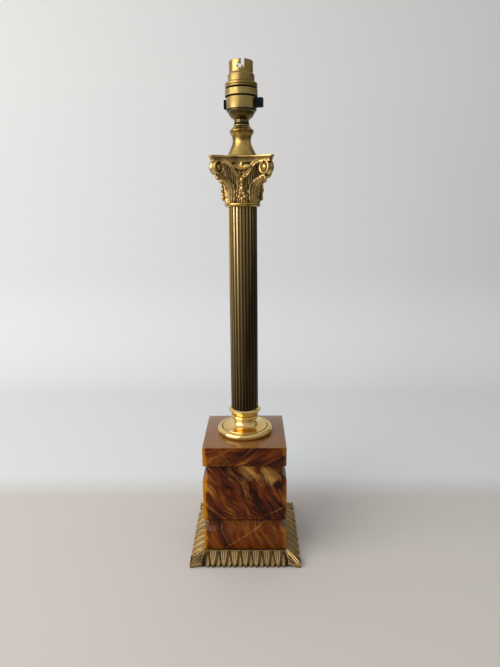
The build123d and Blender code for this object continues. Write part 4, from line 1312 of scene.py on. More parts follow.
    def body(self) -> Shape:
        """Flat top, border, plain slope under the leaves and the hollow underneath."""
        inner = self.apron_half - self.cavity_inset
        inner_top = self.plate_half - self.cavity_inset + self.top_thickness
        under = self.apron_half - self.rim_wall
        levels = (
            (inner_top, self.top_z - self.top_thickness, 1.0),
            (inner, self.base_z, 1.0),
            (under, self.base_z, 1.0),
            (under, self.rim_z - 0.7, 1.0),
            (self.plate_half + 0.3, self.apron_z - 0.9, 1.0),
            (self.plate_half + 0.75, self.apron_z - 0.5, 0.15),
            (self.plate_half + 0.6, self.top_z - 0.25, 0.0),
            (self.plate_half + 0.2, self.top_z, 0.1),
        )
        corners = ((1, -1), (1, 1), (-1, 1), (-1, -1))
        points = np.array([(x * half, y * half, z) for half, z, _ in levels for x, y in corners])
        faces = grid_faces(len(levels), SIDES, wrap=True)
        last = SIDES * (len(levels) - 1)
        faces += [(3, 2, 1, 0), (last, last + 1, last + 2, last + 3)]
        depth = np.repeat(np.array([deep for _, _, deep in levels]), SIDES)
        return Shape(points, faces, depth)

    def corner_leaf(self) -> Shape:
        """Larger leaf over the corner at azimuth -45: double midrib, raised edges, lip turned up."""
        share, across = leaf_grid(*self.corner_grid)
        spine, normal = midrib(self.corner_knots, share[:, 0])
        reach, rise = spine[:, None, 0], spine[:, None, 1]
        tilt_out, tilt_up = normal[:, None, 0], normal[:, None, 1]
        room = sqrt(2) * self.side_reach - reach
        teeth = 1 + 0.035 * np.sin(share * tau * 12) * clamp(share * 4) * clamp((0.7 - share) * 8)
        half = np.minimum(np.interp(share, *self.corner_width) * teeth, room)
        side = half * across
        away = np.abs(across)
        side_away = away * half
        rib_place = np.interp(share, *self.corner_ribs)
        rim_place = np.maximum(half - 0.75, 0.1)
        ribs = hump(side_away - rib_place, 0.6)
        rim = hump(side_away - rim_place, 0.62)
        lip = hump(room - side_away - 1.0, 0.9) * clamp((share - 0.5) * 5)
        between = clamp(1 - side_away / np.maximum(rib_place, 0.2))
        panel = clamp((side_away - rib_place - 0.3) / 0.5) * clamp((rim_place - side_away - 0.2) / 0.5)
        veins = 0.5 + 0.5 * np.cos(tau * (side_away / 2.6 + 1.2 * share))
        height = 1.25 * ribs + 1.25 * rim + 1.0 * lip + panel * (0.6 * veins - 0.6) - 0.35 * between + 0.3
        height = height * clamp(share * 12 + 0.2)
        depth = clamp(between * 0.9 + panel * (1.1 - 0.7 * veins)) * (1 - clamp(ribs + rim + lip))
        droop = np.interp(share, *self.corner_droop) * away**1.6
        thick = self.corner_thickness

        def on_corner(out: np.ndarray, aside: np.ndarray, z: np.ndarray, floor: float) -> np.ndarray:
            """Points at azimuth -45, none of them lower than floor."""
            return np.stack([(out + aside) / sqrt(2), (-out + aside) / sqrt(2), np.maximum(z, floor)], -1)

        front_out = reach + 0.25 * tilt_out * height
        front_z = rise + tilt_up * height - droop
        back_out = reach - tilt_out * thick * (1 - share**4)
        back_z = rise - tilt_up * thick - droop * 0.8
        front = on_corner(front_out, side, front_z, self.lowest_z + self.corner_clearance)
        return plate(front, on_corner(back_out, side * 0.95, back_z, self.lowest_z), depth)

    def boss(self) -> Shape:
        """Boss round the cord's bush in the back of the apron."""
        shape = lathe(self.boss_profile, 64)
        x, y, z = shape.points.T
        shape.points = np.stack([x, z + self.apron_half + self.boss_lift, y + self.base_z + self.boss_z], 1)
        return shape

    def build(self, shop: Workshop) -> None:
        """Makes the foot's pieces.

        Args:
            shop: materials and trees.
        """
        metal = shop.foot
        body = make_piece("foot_body", self.body().joined(self.boss()))
        shop.dress(body, Slot.CAST_BRASS, "foot_casting", metal)
        tile = make_piece("leaf_tile", self.leaf_tile())
        row = shop.apron.run(
            "foot_apron_leaves", tile, Copies=self.leaves, Pitch=self.pitch * MM, Material=metal
        )
        shop.dress(row, Slot.CAST_BRASS, "foot_casting", metal)
        shop.cast_four("foot_apron_ends", self.end_strips(), "foot_casting", metal)
        shop.cast_four("foot_corner_leaves", self.corner_leaf(), "foot_casting", metal)
        shop.keep(Slot.BAIZE, "felt_pad")
        shop.keep(Slot.BLACK_PLASTIC, "cord_bush")


# ---------------------------------------------------------------- plinth
@dataclass
class Plinth:
    """Gasket and the three blocks of onyx."""

    edge: float = 0.7
    bore_reach: float = 20.0
    sharp_angle: float = 25.0
    flat_angle: float = 0.5

    def block(self, shop: Workshop, node: str) -> None:
        """Copies a CAD block and softens its edges.

        Args:
            shop: materials and trees.
            node: the CAD node.
        """
        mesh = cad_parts[node].data.copy()
        work = bmesh.new()
        work.from_mesh(mesh)
        bmesh.ops.remove_doubles(work, verts=work.verts, dist=1e-6)
        flat = radians(self.flat_angle)
        bmesh.ops.dissolve_limit(work, angle_limit=flat, verts=work.verts, edges=work.edges)
        sharp = [
            e
            for e in work.edges
            if len(e.link_faces) == 2
            and e.calc_face_angle(0) > radians(self.sharp_angle)
            and min(hypot(v.co.x, v.co.y) for v in e.verts) > self.bore_reach * MM
        ]
        bmesh.ops.bevel(
            work,
            geom=sharp,
            offset=self.edge * MM,
            segments=3,
            profile=0.5,
            affect="EDGES",
            clamp_overlap=True,
        )
        bmesh.ops.triangulate(work, faces=[f for f in work.faces if len(f.verts) > 4])
        work.to_mesh(mesh)
        work.free()
        piece = bpy.data.objects.new(node + "_stone", mesh)
        bpy.context.scene.collection.objects.link(piece)
        shade(piece, 30)
        shop.dress(piece, Slot.ONYX, node, shop.stones[node])

    def build(self, shop: Workshop) -> None:
        """Makes the plinth's pieces."""
        for node in ("lower_onyx_block", "onyx_die", "onyx_slab"):
            self.block(shop, node)
        shop.keep(Slot.FIBRE, "plinth_gasket")


# ---------------------------------------------------------------- round base, collar and column
@dataclass
class ColumnAndBase:
    """Spun dish, cup and fluted tube."""

    dish_z: float = 144.9
    dish_height: float = 18.6
    bore: float = 5.3
    tube_radius: float = 16.35
    sides: int = 160
    dish_groove: tuple[Point, ...] = ((28.2, 7.45), (27.7, 7.2), (27.25, 7.5), (27.0, 8.3))
    dish_neck: tuple[Point, ...] = ((26.3, 8.5), (22.5, 9.1), (18.4, 10.6), (15.3, 13.2), (14.0, 16.1))
    dish_lip: tuple[Point, ...] = ((14.05, 16.9), (14.5, 17.3), (15.0, 17.7))
    dish_hollow: tuple[Point, ...] = (
        (12.0, 15.6),
        (12.2, 14.0),
        (14.0, 11.0),
        (18.0, 8.6),
        (25.0, 6.4),
        (27.0, 5.0),
        (27.0, 0.0),
    )
    cup_flare: tuple[Point, ...] = ((15.9, 4.5), (16.3, 6.4), (17.4, 8.4), (18.9, 9.8))
    cup_top: tuple[Point, ...] = ((18.3, 11.9), (17.2, 12.9), (16.5, 13.3))

    def dish(self) -> Shape:
        """Dish with its rolled rim, groove, hollow and necked lip."""
        z, top = self.dish_z, self.dish_height
        outline = arc((29.65, z + 4.0), 4.0, -90, 108, 30)
        first = len(outline)
        outline += raised(self.dish_groove, z)
        outline += curve(raised(self.dish_neck, z), 8)
        outline += raised(self.dish_lip + ((15.0, top), (self.bore, top), (self.bore, 15.6)), z)
        outline += raised(self.dish_hollow, z)
        depth = [0.0] * len(outline)
        depth[first : first + 3] = [1.0] * 3
        return lathe(outline, self.sides, depth)

    def collar(self) -> Shape:
        """Cup: bead, concave flare and a rim with a sloping top."""
        z = self.dish_z + self.dish_height
        outline = [(self.bore, z), (15.6, z)]
        outline += arc((15.4, z + 2.1), (1.5, 2.0), -85, 85, 14)
        outline += curve(raised(self.cup_flare, z), 6)
        outline += arc((18.9, z + 10.75), 0.75, -70, 90, 10)
        outline += raised(self.cup_top, z)
        outline += raised(((self.tube_radius, 13.3), (self.tube_radius, 6.5), (self.bore, 6.5)), z)
        return lathe(outline, self.sides)

    def build(self, shop: Workshop) -> None:
        """Makes the base, the cup and the column."""
        shop.dress(make_piece("column_base_dish", self.dish()), Slot.POLISHED_BRASS, "column_base")
        shop.dress(make_piece("column_cup", self.collar()), Slot.POLISHED_BRASS, "column_collar")
        shop.keep(Slot.COLUMN_BRASS, "fluted_column")
        shop.keep(Slot.ZINC, "centring_discs")


# ---------------------------------------------------------------- capital
@dataclass
class Capital:
    """Corinthian capital: astragal, bell, acanthus leaves, scrolls and a hollow-sided abacus."""

    base_z: float = 413.5
    bell_z: float = 418.5
    abacus_z: float = 459.0
    top_z: float = 465.6
    corner_reach: float = 46.0
    corner_width: float = 5.0
    side_reach: float = 26.8
    scroll_reach: float = 36.3
    scroll_z: float = 453.5
    scroll_radius: float = 8.1
    scroll_width: float = 9.6
    scroll_winding: float = 0.13
    scroll_groove: Table = ((0, 1), (5.5, 3.9))
    scroll_grid: tuple[int, int] = (34, 112)
    eye_radius: float = 3.1
    tube_radius: float = 16.35
    socket_z: float = 417.0
    bell_ribs: int = 44
    corner_half_width: float = 8.8
    face_half_width: float = 7.4
    leaf_thickness: float = 1.5
    petal_foot: Point = (26.4, 451.3)
    petal_back: float = 22.5
    petals: tuple[Place, ...] = ((0, 7.8, 2.3), (46, 10.5, 2.1), (-46, 10.5, 2.1))
    hanging_beads: tuple[Place, ...] = ((441.2, 2.3, 1.4), (436.4, 1.4, 1.2), (431.9, 2.2, 1.7))
    flower_radius: float = 2.9
    leaf_grid_size: tuple[int, int] = (90, 65)
    petal_grid_size: tuple[int, int] = (20, 15)
    flower: Point = (21.2, 424.9)
    curl: Point = (24.4, 448.6)
    bell_profile: Table = (
        (418.5, 424.0, 430.0, 440.0, 448.0, 455.0, 460.0),
        (17.6, 18.0, 18.2, 18.8, 20.3, 22.4, 23.4),
    )
    leaf_outline: Table = ((0, 0.1, 0.35, 0.5, 0.7, 0.86, 1.0), (0.85, 0.95, 1.0, 0.86, 0.5, 0.36, 0.2))
    stalk_lift: Table = ((0, 6, 12, 18, 24), (2.6, 3.0, 3.3, 3.0, 2.2))
    stalk_sizes: Table = ((0, 5, 20, 24), (0.7, 0.95, 1.15, 1.1))
    flute_depth: float = 0.22
    abacus_profile: tuple[Place, ...] = (
        (1.2, 0.0, 0.0),
        (0.35, -0.15, 0.0),
        (0.0, -0.7, 0.0),
        (0.0, -1.4, 0.0),
        (0.45, -1.9, 0.1),
        (1.3, -2.2, 0.9),
        (1.9, -3.0, 0.7),
        (2.4, -4.4, 0.5),
        (2.7, -5.6, 0.3),
        (2.6, -6.3, 0.2),
        (3.4, -6.6, 0.8),
    )
    corner_knots: tuple[Point, ...] = (
        (18.5, 418.2),
        (19.0, 427.0),
        (19.8, 433.0),
        (22.0, 437.5),
        (26.5, 441.3),
        (31.5, 444.0),
        (34.8, 445.6),
        (36.4, 444.6),
        (36.0, 442.6),
    )
    face_knots: tuple[Point, ...] = (
        (18.5, 418.2),
        (18.9, 426.0),
        (19.3, 434.0),
        (20.1, 439.0),
        (21.3, 441.6),
        (22.3, 441.2),
        (22.4, 440.0),
    )
    stalk_path: tuple[Point, ...] = (
        (0.6, 444.6),
        (5.3, 446.5),
        (8.6, 451.0),
        (12.0, 456.5),
        (17.0, 459.6),
        (22.0, 460.3),
    )

    def bell_radius(self, z: np.ndarray) -> np.ndarray:
        """Radius of the bell at a height."""
        return np.interp(z, *self.bell_profile)

    def bell(self) -> Shape:
        """Bell behind the leaves, with the socket for the column."""
        low, high, bore = self.bell_z - 0.5, self.abacus_z + 0.5, self.tube_radius
        outline = [(float(self.bell_radius(z)), float(z)) for z in np.linspace(low, high, 30)]
        outline += [(14.5, high), (13.0, self.abacus_z - 3.5), (13.0, self.socket_z)]
        outline += [(bore, self.socket_z), (bore, low)]
        shape = lathe(outline, 384)
        x, y, z = shape.points.T
        radius = np.hypot(x, y)
        rib = np.cos(self.bell_ribs * np.arctan2(y, x)) * (radius > 16.8) * clamp((self.abacus_z - z) / 6)
        shape.points = np.stack([x * (1 + 0.5 * rib / radius), y * (1 + 0.5 * rib / radius), z], 1)
        shape.recess = clamp(0.5 - 0.5 * rib)
        return shape

    def astragal(self) -> Shape:
        """Polished ring at the foot of the capital."""
        z, top, bore = self.base_z, self.bell_z, self.tube_radius
        outline = [(bore, z), (18.2, z)] + arc((18.3, z + 2.4), (1.7, 2.3), -88, 88, 18)
        return lathe(outline + [(18.0, top), (17.5, top), (bore, top)])

    def plan(self, steps: int = 48) -> tuple[np.ndarray, np.ndarray]:
        """Outline of the abacus and the outward direction at each point.

        Args:
            steps: spans of each hollow side.

        Returns:
            Points and directions, both N x 2; on the horns the directions are radial.
        """
        near = (self.corner_reach - self.corner_width / 2) / sqrt(2)
        far = (self.corner_reach + self.corner_width / 2) / sqrt(2)
        sag = far - self.side_reach
        radius = (near**2 + sag**2) / (2 * sag)
        centre = -self.side_reach - radius
        opening = np.arcsin(near / radius)
        angles = np.linspace(-opening, opening, steps + 1)
        side = np.stack([radius * np.sin(angles), centre + radius * np.cos(angles)], 1)
        facing = np.stack([-np.sin(angles), -np.cos(angles)], 1)
        radial = side / np.linalg.norm(side, axis=1)[:, None]
        horn = clamp((np.abs(angles) / opening - 0.45) / 0.45)[:, None]
        facing = facing * (1 - horn) + radial * horn
        outline, outward = [], []
        for quarter in range(SIDES):
            turn = quarter * pi / 2
            matrix = np.array([[cos(turn), -sin(turn)], [sin(turn), cos(turn)]])
            outline.append(side @ matrix.T)
            outward.append(facing @ matrix.T)
        return np.vstack(outline), np.vstack(outward)

    def abacus(self) -> Shape:
        """Abacus: a rounded fillet over a hollow, which is fluted where its profile lies half deep."""
        outline, outward = self.plan()
        count = len(outline)
        flutes = np.cos(np.arange(count) * pi)
        rings, depths = [], []
        for inset, below, depth in self.abacus_profile:
            hollow = self.flute_depth if 0.4 < depth < 0.9 else 0.0
            edge = outline - outward * (inset + hollow * flutes[:, None])
            rings.append(np.column_stack([edge, np.full(count, self.top_z + below)]))
            depths.append(clamp(depth + hollow * 1.6 * flutes))
        towards_middle = np.array([0.5, 0.5, 1.0])
        rings = [rings[0] * towards_middle, *rings, rings[-1] * towards_middle]
        depths = [np.zeros(count), *depths, np.ones(count)]
        points = np.vstack(rings)
        faces = grid_faces(len(rings), count, wrap=True)
        faces.append(tuple(range(count)))
        faces.append(tuple(range(len(points) - 1, len(points) - count - 1, -1)))
        return Shape(points, faces, np.concatenate(depths))

    def leaf(self, knots: Sequence[Point], half_width: float) -> Shape:
        """Acanthus leaf at azimuth 0.

        Args:
            knots: radius and height along its midrib, from the foot to the tip.
            half_width: of the leaf.

        Returns:
            The leaf, closed.
        """
        share, across = leaf_grid(*self.leaf_grid_size)
        spine, normal = midrib(knots, share[:, 0])
        reach, rise = spine[:, :1], spine[:, 1:]
        tilt_out, tilt_up = -normal[:, :1], -normal[:, 1:]
        lobes = 1 + 0.13 * np.abs(np.sin(share * pi * 5.5)) - 0.08
        side = half_width * np.interp(share, *self.leaf_outline) * lobes * across
        away = np.abs(across)
        rib = hump(away, 0.15)
        veins = 0.5 + 0.5 * np.cos(tau * (away * (2.9 - 1.2 * share) + 0.15 * share))
        ruffle = np.sin(share * pi * 11) * clamp((away - 0.55) * 3)
        relief = 1.5 * rib + 1.15 * veins * (1 - rib) + 0.45 * ruffle
        relief = relief * np.clip((1 - share) * 6, 0.3, 1)
        depth = clamp(1.15 - veins * 1.3) * (1 - rib) + 0.3 * (ruffle < -0.4)
        bow = 0.6 * away**2
        front = self._wrap(reach + tilt_out * relief - bow, side, rise + tilt_up * relief)
        thick = self.leaf_thickness
        back = self._wrap(reach - tilt_out * thick - bow, side * 0.97, rise - tilt_up * thick + 0 * away)
        return plate(front, back, clamp(depth))

    @staticmethod
    def _wrap(radius: np.ndarray, side: np.ndarray, z: np.ndarray) -> np.ndarray:
        """Points at a radius, an arc length to the side and a height, round azimuth 0."""
        angle = side / np.maximum(radius, 19.0)
        return np.stack([radius * np.cos(angle), radius * np.sin(angle), z + 0 * side], -1)

    def scroll(self) -> Shape:
        """Roll under one corner of the abacus, azimuth 0: spiral rim, groove and domed eye at both ends."""
        rings, spokes = self.scroll_grid
        turn = np.arange(spokes) * tau / spokes
        wind = turn / tau
        outer = self.scroll_radius * (1.0 - self.scroll_winding * wind**1.4)
        groove = np.interp(wind, *self.scroll_groove)
        part = np.linspace(0.02, 1, rings)[:, None]
        radius = part * outer
        rim_middle, rim_half = (outer + groove) / 2, (outer - groove) / 2
        rim = np.sqrt(clamp(1 - ((radius - rim_middle) / rim_half) ** 2))
        eye = np.sqrt(clamp(1 - (radius / self.eye_radius) ** 2))
        base = self.scroll_width / 2 - 1.5
        end = base + 1.4 * rim + 1.5 * eye
        dark = clamp(1 - 2.2 * (rim + eye))
        rows, sides, depths = [radius], [end], [dark]
        for side in np.linspace(base, -base, 9)[1:-1]:
            hollow = 0.75 * (1 - (side / base) ** 2)
            rows.append((outer - hollow)[None, :])
            sides.append(np.full((1, spokes), side))
            depths.append(np.full((1, spokes), 0.25))
        rows.append(radius[::-1])
        sides.append(-end[::-1])
        depths.append(dark[::-1])
        radius, side, depth = np.vstack(rows), np.vstack(sides), np.vstack(depths)
        x = self.scroll_reach + radius * np.sin(turn)
        z = self.scroll_z + radius * np.cos(turn)
        points = np.stack([x, side, z], -1).reshape(-1, 3)
        faces = grid_faces(len(radius), spokes, wrap=True)
        faces.append(tuple(range(spokes - 1, -1, -1)))
        faces.append(tuple(range(len(points) - spokes, len(points))))
        return Shape(points, faces, depth.ravel())

    def stalk(self, hand: int) -> Shape:
        """Double-ridged band that runs from the V in the middle of a face to the scroll.

        Args:
            hand: 1 or -1, the side.

        Returns:
            The band on the face at azimuth 0.
        """
        knots = smooth(self.stalk_path, 10)
        side, z = knots.T
        reach = self.bell_radius(z) + np.interp(side, *self.stalk_lift)
        path = np.stack([reach, hand * side, z], 1)
        outward = np.tile([1.0, 0.0, 0.0], (len(path), 1))
        section = arc((1.35, 0.0), (0.85, 0.95), -150, 150, 8) + [(0.0, 0.25)]
        section += arc((-1.35, 0.0), (0.85, 0.95), 30, 210, 8) + [(-1.2, -1.6), (1.2, -1.6)]
        across = np.cross(np.gradient(path, axis=0), outward)
        return sweep(path, np.array(section), across, np.interp(side, *self.stalk_sizes))

    def palmette(self) -> Shape:
        """Three petals over the middle of one side of the abacus's hollow, azimuth 0."""
        shapes = []
        share, across = leaf_grid(*self.petal_grid_size)
        foot_x, foot_z = self.petal_foot
        for turn, length, width in self.petals:
            half = width * np.sin(pi * clamp(share * 0.9 + 0.08)) ** 0.8 + 0.15
            bend = radians(turn) + radians(0.5 * turn) * share
            y = length * share * np.sin(bend) + half * across * np.cos(bend)
            z = foot_z + length * share * np.cos(bend) - half * across * np.sin(bend)
            lift = 1.2 * (1 - across**2) + 0.8 * hump(across, 0.15) * (1 - share)
            x = foot_x + 1.5 * share + lift
            front = np.stack([x, y, z], -1)
            back = np.stack([np.full_like(x, self.petal_back), y, z], -1)
            shapes.append(plate(front, back, 0.6 * across**4 + 0 * share))
        return together(shapes)

    def bead(self, y: float, z: float, radius: float, stretch: float, reach: float) -> Shape:
        """Ball on the side of azimuth 0.

        Args:
            y: how far it is to the side.
            z: its height.
            radius: its radius.
            stretch: its height as a share of its width.
            reach: how far out it is.

        Returns:
            The ball, closed.
        """
        ball = lathe([(0.01, -radius)] + arc((0, 0), radius, -84, 84, 10) + [(0.01, radius)], 20)
        a, b, c = ball.points.T
        ball.points = np.stack([a + reach, b + y, c * stretch + z], 1)
        return ball

    def pendant(self) -> Shape:
        """Beads that hang from the V and end in a small flower, azimuth 0."""
        beads = []
        for z, radius, stretch in self.hanging_beads:
            beads.append((0.0, z, radius, stretch, 22.6 - 0.08 * (441.6 - z)))
        (reach, middle), wide = self.flower, self.flower_radius
        for angle in range(36, 396, 72):
            beads.append((wide * sin(radians(angle)), middle + wide * cos(radians(angle)), 1.9, 1.0, reach))
        return together([self.bead(*bead) for bead in beads])

    def curls(self) -> Shape:
        """Two small curls above the V."""
        shapes = []
        angles = np.linspace(-0.5 * pi, 1.1 * pi, 26)
        share = np.linspace(0, 1, len(angles))
        radius = 2.0 * (1 - 0.6 * share)
        reach, middle = self.curl
        section = np.array(arc((0, 0), 0.75, 0, 324, 9))
        for hand in (-1, 1):
            side = hand * (3.3 - radius * np.cos(angles))
            path = np.stack([np.full_like(angles, reach), side, middle + radius * np.sin(angles)], 1)
            across = np.cross(np.gradient(path, axis=0), np.tile([1.0, 0, 0], (len(path), 1)))
            shapes.append(sweep(path, section, across, 1 - 0.5 * share))
        return together(shapes)

    def build(self, shop: Workshop) -> None:
        """Makes the capital's pieces."""
        metal = shop.materials[Slot.CAST_BRASS]
        for name, shape in (("capital_bell", self.bell()), ("capital_abacus", self.abacus())):
            shop.dress(make_piece(name, shape), Slot.CAST_BRASS, "capital")
        ring = make_piece("capital_astragal", self.astragal())
        shop.dress(ring, Slot.CAST_BRASS, "capital", shop.turned)
        tip = self.bead(0.0, 443.2, 2.3, 1.1, 35.9)
        corner_leaf = self.leaf(self.corner_knots, self.corner_half_width).joined(tip)
        parts = (
            ("capital_corner_leaves", corner_leaf, pi / 4),
            ("capital_face_leaves", self.leaf(self.face_knots, self.face_half_width), 0.0),
            ("capital_scrolls", self.scroll(), pi / 4),
            ("capital_stalks", self.stalk(1).joined(self.stalk(-1)), 0.0),
            ("capital_palmettes", self.palmette(), 0.0),
            ("capital_pendants", self.pendant().joined(self.curls()), 0.0),
        )
        for name, shape, turn in parts:
            shop.cast_four(name, shape, "capital", metal, turn)


# ---------------------------------------------------------------- vase and lampholder
@dataclass
class Lampholder:
    """Turned neck and the bayonet lampholder with its push-through switch."""

    neck_profile: tuple[Point, ...] = (
        (17.1, 466.8),
        (16.1, 468.4),
        (14.9, 470.6),
        (13.7, 472.8),
        (12.5, 475.2),
        (11.3, 477.8),
        (10.3, 480.6),
        (9.9, 483.2),
        (10.65, 487.3),
        (12.5, 490.6),
        (13.2, 492.4),
        (13.0, 493.9),
        (12.2, 494.7),
        (11.0, 495.5),
        (10.4, 496.5),
        (9.6, 497.4),
        (8.8, 498.3),
    )
    neck_foot: tuple[Point, ...] = ((15.4, 465.6), (17.4, 465.6), (17.35, 466.3))
    neck_inside: tuple[Point, ...] = (
        (8.8, 499.1),
        (5.3, 499.1),
        (5.3, 495.1),
        (7.9, 495.1),
        (7.9, 483.2),
        (9.6, 475.2),
    )
    dome_entry: tuple[Point, ...] = ((5.05, 501.0), (7.7, 501.0), (8.0, 501.3), (8.0, 504.3))
    dome_profile: tuple[Point, ...] = (
        (8.3, 504.6),
        (9.86, 505.6),
        (11.0, 506.6),
        (12.16, 507.6),
        (12.94, 508.6),
        (13.5, 509.6),
        (13.95, 510.65),
        (14.4, 511.8),
    )
    dome_inside: tuple[Point, ...] = (
        (13.2, 514.0),
        (13.2, 511.6),
        (11.5, 508.2),
        (7.4, 505.9),
        (5.05, 505.9),
    )
    spring_turns: int = 3
    spring_radius: float = 2.07
    spring_wire: float = 0.22
    turn_steps: int = 32
    wire_sides: int = 12
    plunger_travel: float = 3.0

    def vase(self) -> Shape:
        """Waisted neck with a bead."""
        return lathe([*self.neck_foot, *curve(self.neck_profile, 6), *self.neck_inside])

    def cap(self) -> Shape:
        """Domed bottom cover with its threaded entry and rolled rim."""
        rim = arc((15.1, 513.1), (0.9, 0.85), -110, 90, 12)
        return lathe([*self.dome_entry, *curve(self.dome_profile, 5), *rim, *self.dome_inside])

    def spring(self, shop: Workshop, side: str) -> None:
        """Makes the coil spring under one contact plunger, at rest; the real spring shortens as the plunger
        is pressed.

        Args:
            shop: where the metal comes from.
            side: left or right.
        """
        low, high = (np.array(corner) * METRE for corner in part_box("plunger_spring_" + side))
        centre = sum(np.array(corner) * (METRE / 2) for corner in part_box("plunger_" + side))
        wire = self.spring_wire
        turn = np.linspace(0.0, tau * self.spring_turns, self.turn_steps * self.spring_turns + 1)
        radial = np.stack([np.cos(turn), np.sin(turn), 0.0 * turn], axis=1)
        path = centre + self.spring_radius * radial
        path[:, 2] = np.linspace(low[2] + wire, high[2] - wire, len(turn))
        round_angles = np.linspace(0.0, tau, self.wire_sides, endpoint=False)
        section = wire * np.array([(cos(a), sin(a)) for a in round_angles])
        coil = make_piece("plunger_coil_" + side, sweep(path, section, radial, np.ones(len(path))))
        shop.dress(coil, Slot.ZINC, "plunger_spring_" + side)
        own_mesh(coil)

    def build(self, shop: Workshop) -> None:
        """Makes the neck and the lampholder."""
        neck = make_piece("vase_neck_turned", self.vase())
        shop.dress(neck, Slot.COLUMN_BRASS, "vase_neck", shop.turned)
        # The dome takes the darker brass: painted shade.
        shaded_dome = make_piece("lampholder_dome", self.cap())
        shop.dress(shaded_dome, Slot.SATIN_BRASS, "lampholder_cap", shop.shaded_dome)
        shop.keep(Slot.SATIN_BRASS, "switch_body", "union_ring", "shade_ring", "lampholder_barrel")
        shop.keep(Slot.SATIN_BRASS, "contact_bridge", "fixed_contacts", "line_terminals")
        shop.keep(Slot.SATIN_BRASS, "terminal_screws", "earth_terminal", "plunger_left", "plunger_right")
        shop.keep(Slot.INSULATOR, "switch_moulding", "plunger_carrier")
        for side in ("left", "right"):
            self.spring(shop, side)
        shop.keep(Slot.ZINC, "tie_rod", "base_nut", "base_washer")
        shop.keep(Slot.FIBRE, "neck_washer")
        shop.keep(Slot.BLACK_PLASTIC, "push_bar")


# ---------------------------------------------------------------- studio
class Sky(Graph):
    """The world: light from above and from the left, dim below and to the right."""

    def __init__(self) -> None:
        """Makes the world and takes its background shader."""
        world = bpy.data.worlds.new("studio")
        bpy.context.scene.world = world
        world.use_nodes = True
        self.tree = world.node_tree
        self.shader = self.tree.nodes["Background"]

    def light(self, tone: Colour, low: float, high: float) -> None:
        """Sets the world's colour, and its strength from low to high by direction."""
        towards = self.add("ShaderNodeTexCoord", output="Generated")
        above = self.spread(self.axis(towards, "Z"), -0.05, 0.3)
        left = self.spread(self.axis(towards, "X"), -0.6, 0.7, (1.0, 0.5))
        self.feed(self.shader.inputs["Color"], tone)
        self.feed(self.shader.inputs["Strength"], above * left * (high - low) + low)


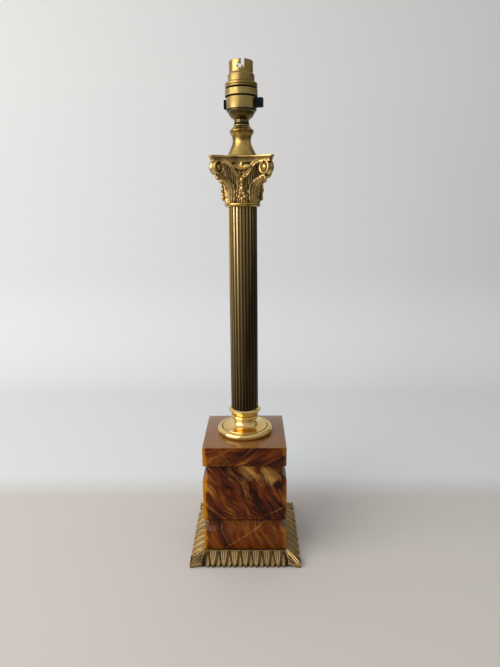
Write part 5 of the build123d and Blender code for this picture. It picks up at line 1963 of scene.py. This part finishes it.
@dataclass
class Studio:
    """Camera, floor, backdrop and lights."""

    position: Place = (0.01337, -0.57736, 0.40060)
    yaw: float = 0.618
    pitch: float = 12.918
    roll: float = -0.478
    lens: float = 26.99
    sensor_width: float = 36.0
    clip: Point = (0.01, 50.0)
    cloth_tone: Colour = (0.585, 0.54, 0.497)
    wall_tone: Colour = (0.69, 0.70, 0.71)
    wall_high_tone: Colour = (0.775, 0.77, 0.76)
    # dark floor far off: painted shade standing in for the dim room
    far_tone: Colour = (0.22, 0.205, 0.19)
    half_width: float = 1.6
    wall_distance: float = 0.8
    wall_height: float = 2.2
    wall_curve: float = 0.25
    window_place: Place = (-1.5, -1.0, 1.1)
    window_target: Place = (0, 0, 0.3)
    window_size: Point = (2.0, 1.9)
    window_power: float = 40.0
    window_tone: Colour = (1.0, 0.985, 0.96)
    sky_tone: Colour = (0.95, 0.97, 1.0)
    sky_low: float = 0.14
    sky_high: float = 0.8

    def camera(self) -> None:
        """Makes the camera."""
        data = bpy.data.cameras.new("camera")
        data.lens, data.sensor_width, data.sensor_fit = self.lens, self.sensor_width, "AUTO"
        data.clip_start, data.clip_end = self.clip
        viewer = bpy.data.objects.new("camera", data)
        bpy.context.scene.collection.objects.link(viewer)
        yaw, pitch, roll = radians(self.yaw), radians(self.pitch), radians(self.roll)
        ahead = Vector((-sin(yaw), cos(yaw), 0))
        right = Vector((cos(yaw), sin(yaw), 0))
        forward = ahead * cos(pitch) - Vector((0, 0, 1)) * sin(pitch)
        up = ahead * sin(pitch) + Vector((0, 0, 1)) * cos(pitch)
        tilted_right = right * cos(roll) + up * sin(roll)
        tilted_up = up * cos(roll) - right * sin(roll)
        place = Matrix((tilted_right, tilted_up, -forward)).transposed().to_4x4()
        place.translation = Vector(self.position)
        viewer.matrix_world = place
        bpy.context.scene.camera = viewer

    def backdrop(self) -> None:
        """Makes the floor, which curves up into a wall behind."""
        depth, bend = self.wall_distance, self.wall_curve
        profile = [(-self.half_width, 0.0), (depth - bend, 0.0)]
        profile += arc((depth - bend, bend), bend, -90, 0, 24)
        profile += [(depth, self.wall_height)]
        points = [(x, y, z) for y, z in profile for x in (-self.half_width, self.half_width)]
        mesh = bpy.data.meshes.new("floor")
        mesh.from_pydata(points, [], grid_faces(len(profile), 2))
        mesh.shade_smooth()
        floor = bpy.data.objects.new("floor", mesh)
        bpy.context.scene.collection.objects.link(floor)
        graph = Graph("floor")
        spot = graph.place()
        away = graph.vector("LENGTH", graph.vector("ADD", spot, (0.1, 0.0, 0.0)), output="Value")
        right, back, height = (graph.axis(spot, letter) for letter in "XYZ")
        front = graph.spread(back, -0.1, 0.06, (1.0, 0.0))
        # Painted light: the wall is painted lighter towards the top.
        wall = graph.mix(graph.spread(height, 0.0, 0.75), self.wall_tone, self.wall_high_tone)
        tone = graph.mix(graph.spread(back, 0.09, 0.15), self.cloth_tone, wall)
        # Painted shade: far from the lamp and at the far sides the floor turns dark, standing in for the dim
        # room that the brass reflects.
        tone = graph.mix(graph.spread(away, 0.42, 0.65) * front, tone, self.far_tone)
        tone = graph.mix(graph.spread(right, 0.8, 1.0), tone, self.far_tone)
        mesh.materials.append(graph.finish(Base_Color=tone, Roughness=0.95))

    def window(self) -> None:
        """Makes the one soft area light, high on the left."""
        data = bpy.data.lights.new("window", "AREA")
        data.shape = "RECTANGLE"
        data.size, data.size_y = self.window_size
        data.energy, data.color = self.window_power, self.window_tone
        lamp = bpy.data.objects.new("window", data)
        bpy.context.scene.collection.objects.link(lamp)
        place = Vector(self.window_place)
        lamp.location = place
        lamp.rotation_euler = (Vector(self.window_target) - place).to_track_quat("-Z", "Y").to_euler()

    def build(self) -> None:
        """Makes the studio."""
        self.camera()
        self.backdrop()
        Sky().light(self.sky_tone, self.sky_low, self.sky_high)
        self.window()
        bpy.context.scene.view_settings.view_transform = "Standard"


def main() -> None:
    """Builds the lamp and the studio."""
    logging.basicConfig(level=logging.INFO, format="%(name)s: %(message)s")
    shop = Workshop()
    Studio().build()
    for assembly in (Foot(), Plinth(), ColumnAndBase(), Capital(), Lampholder()):
        assembly.build(shop)


if __name__ == "__main__":
    main()
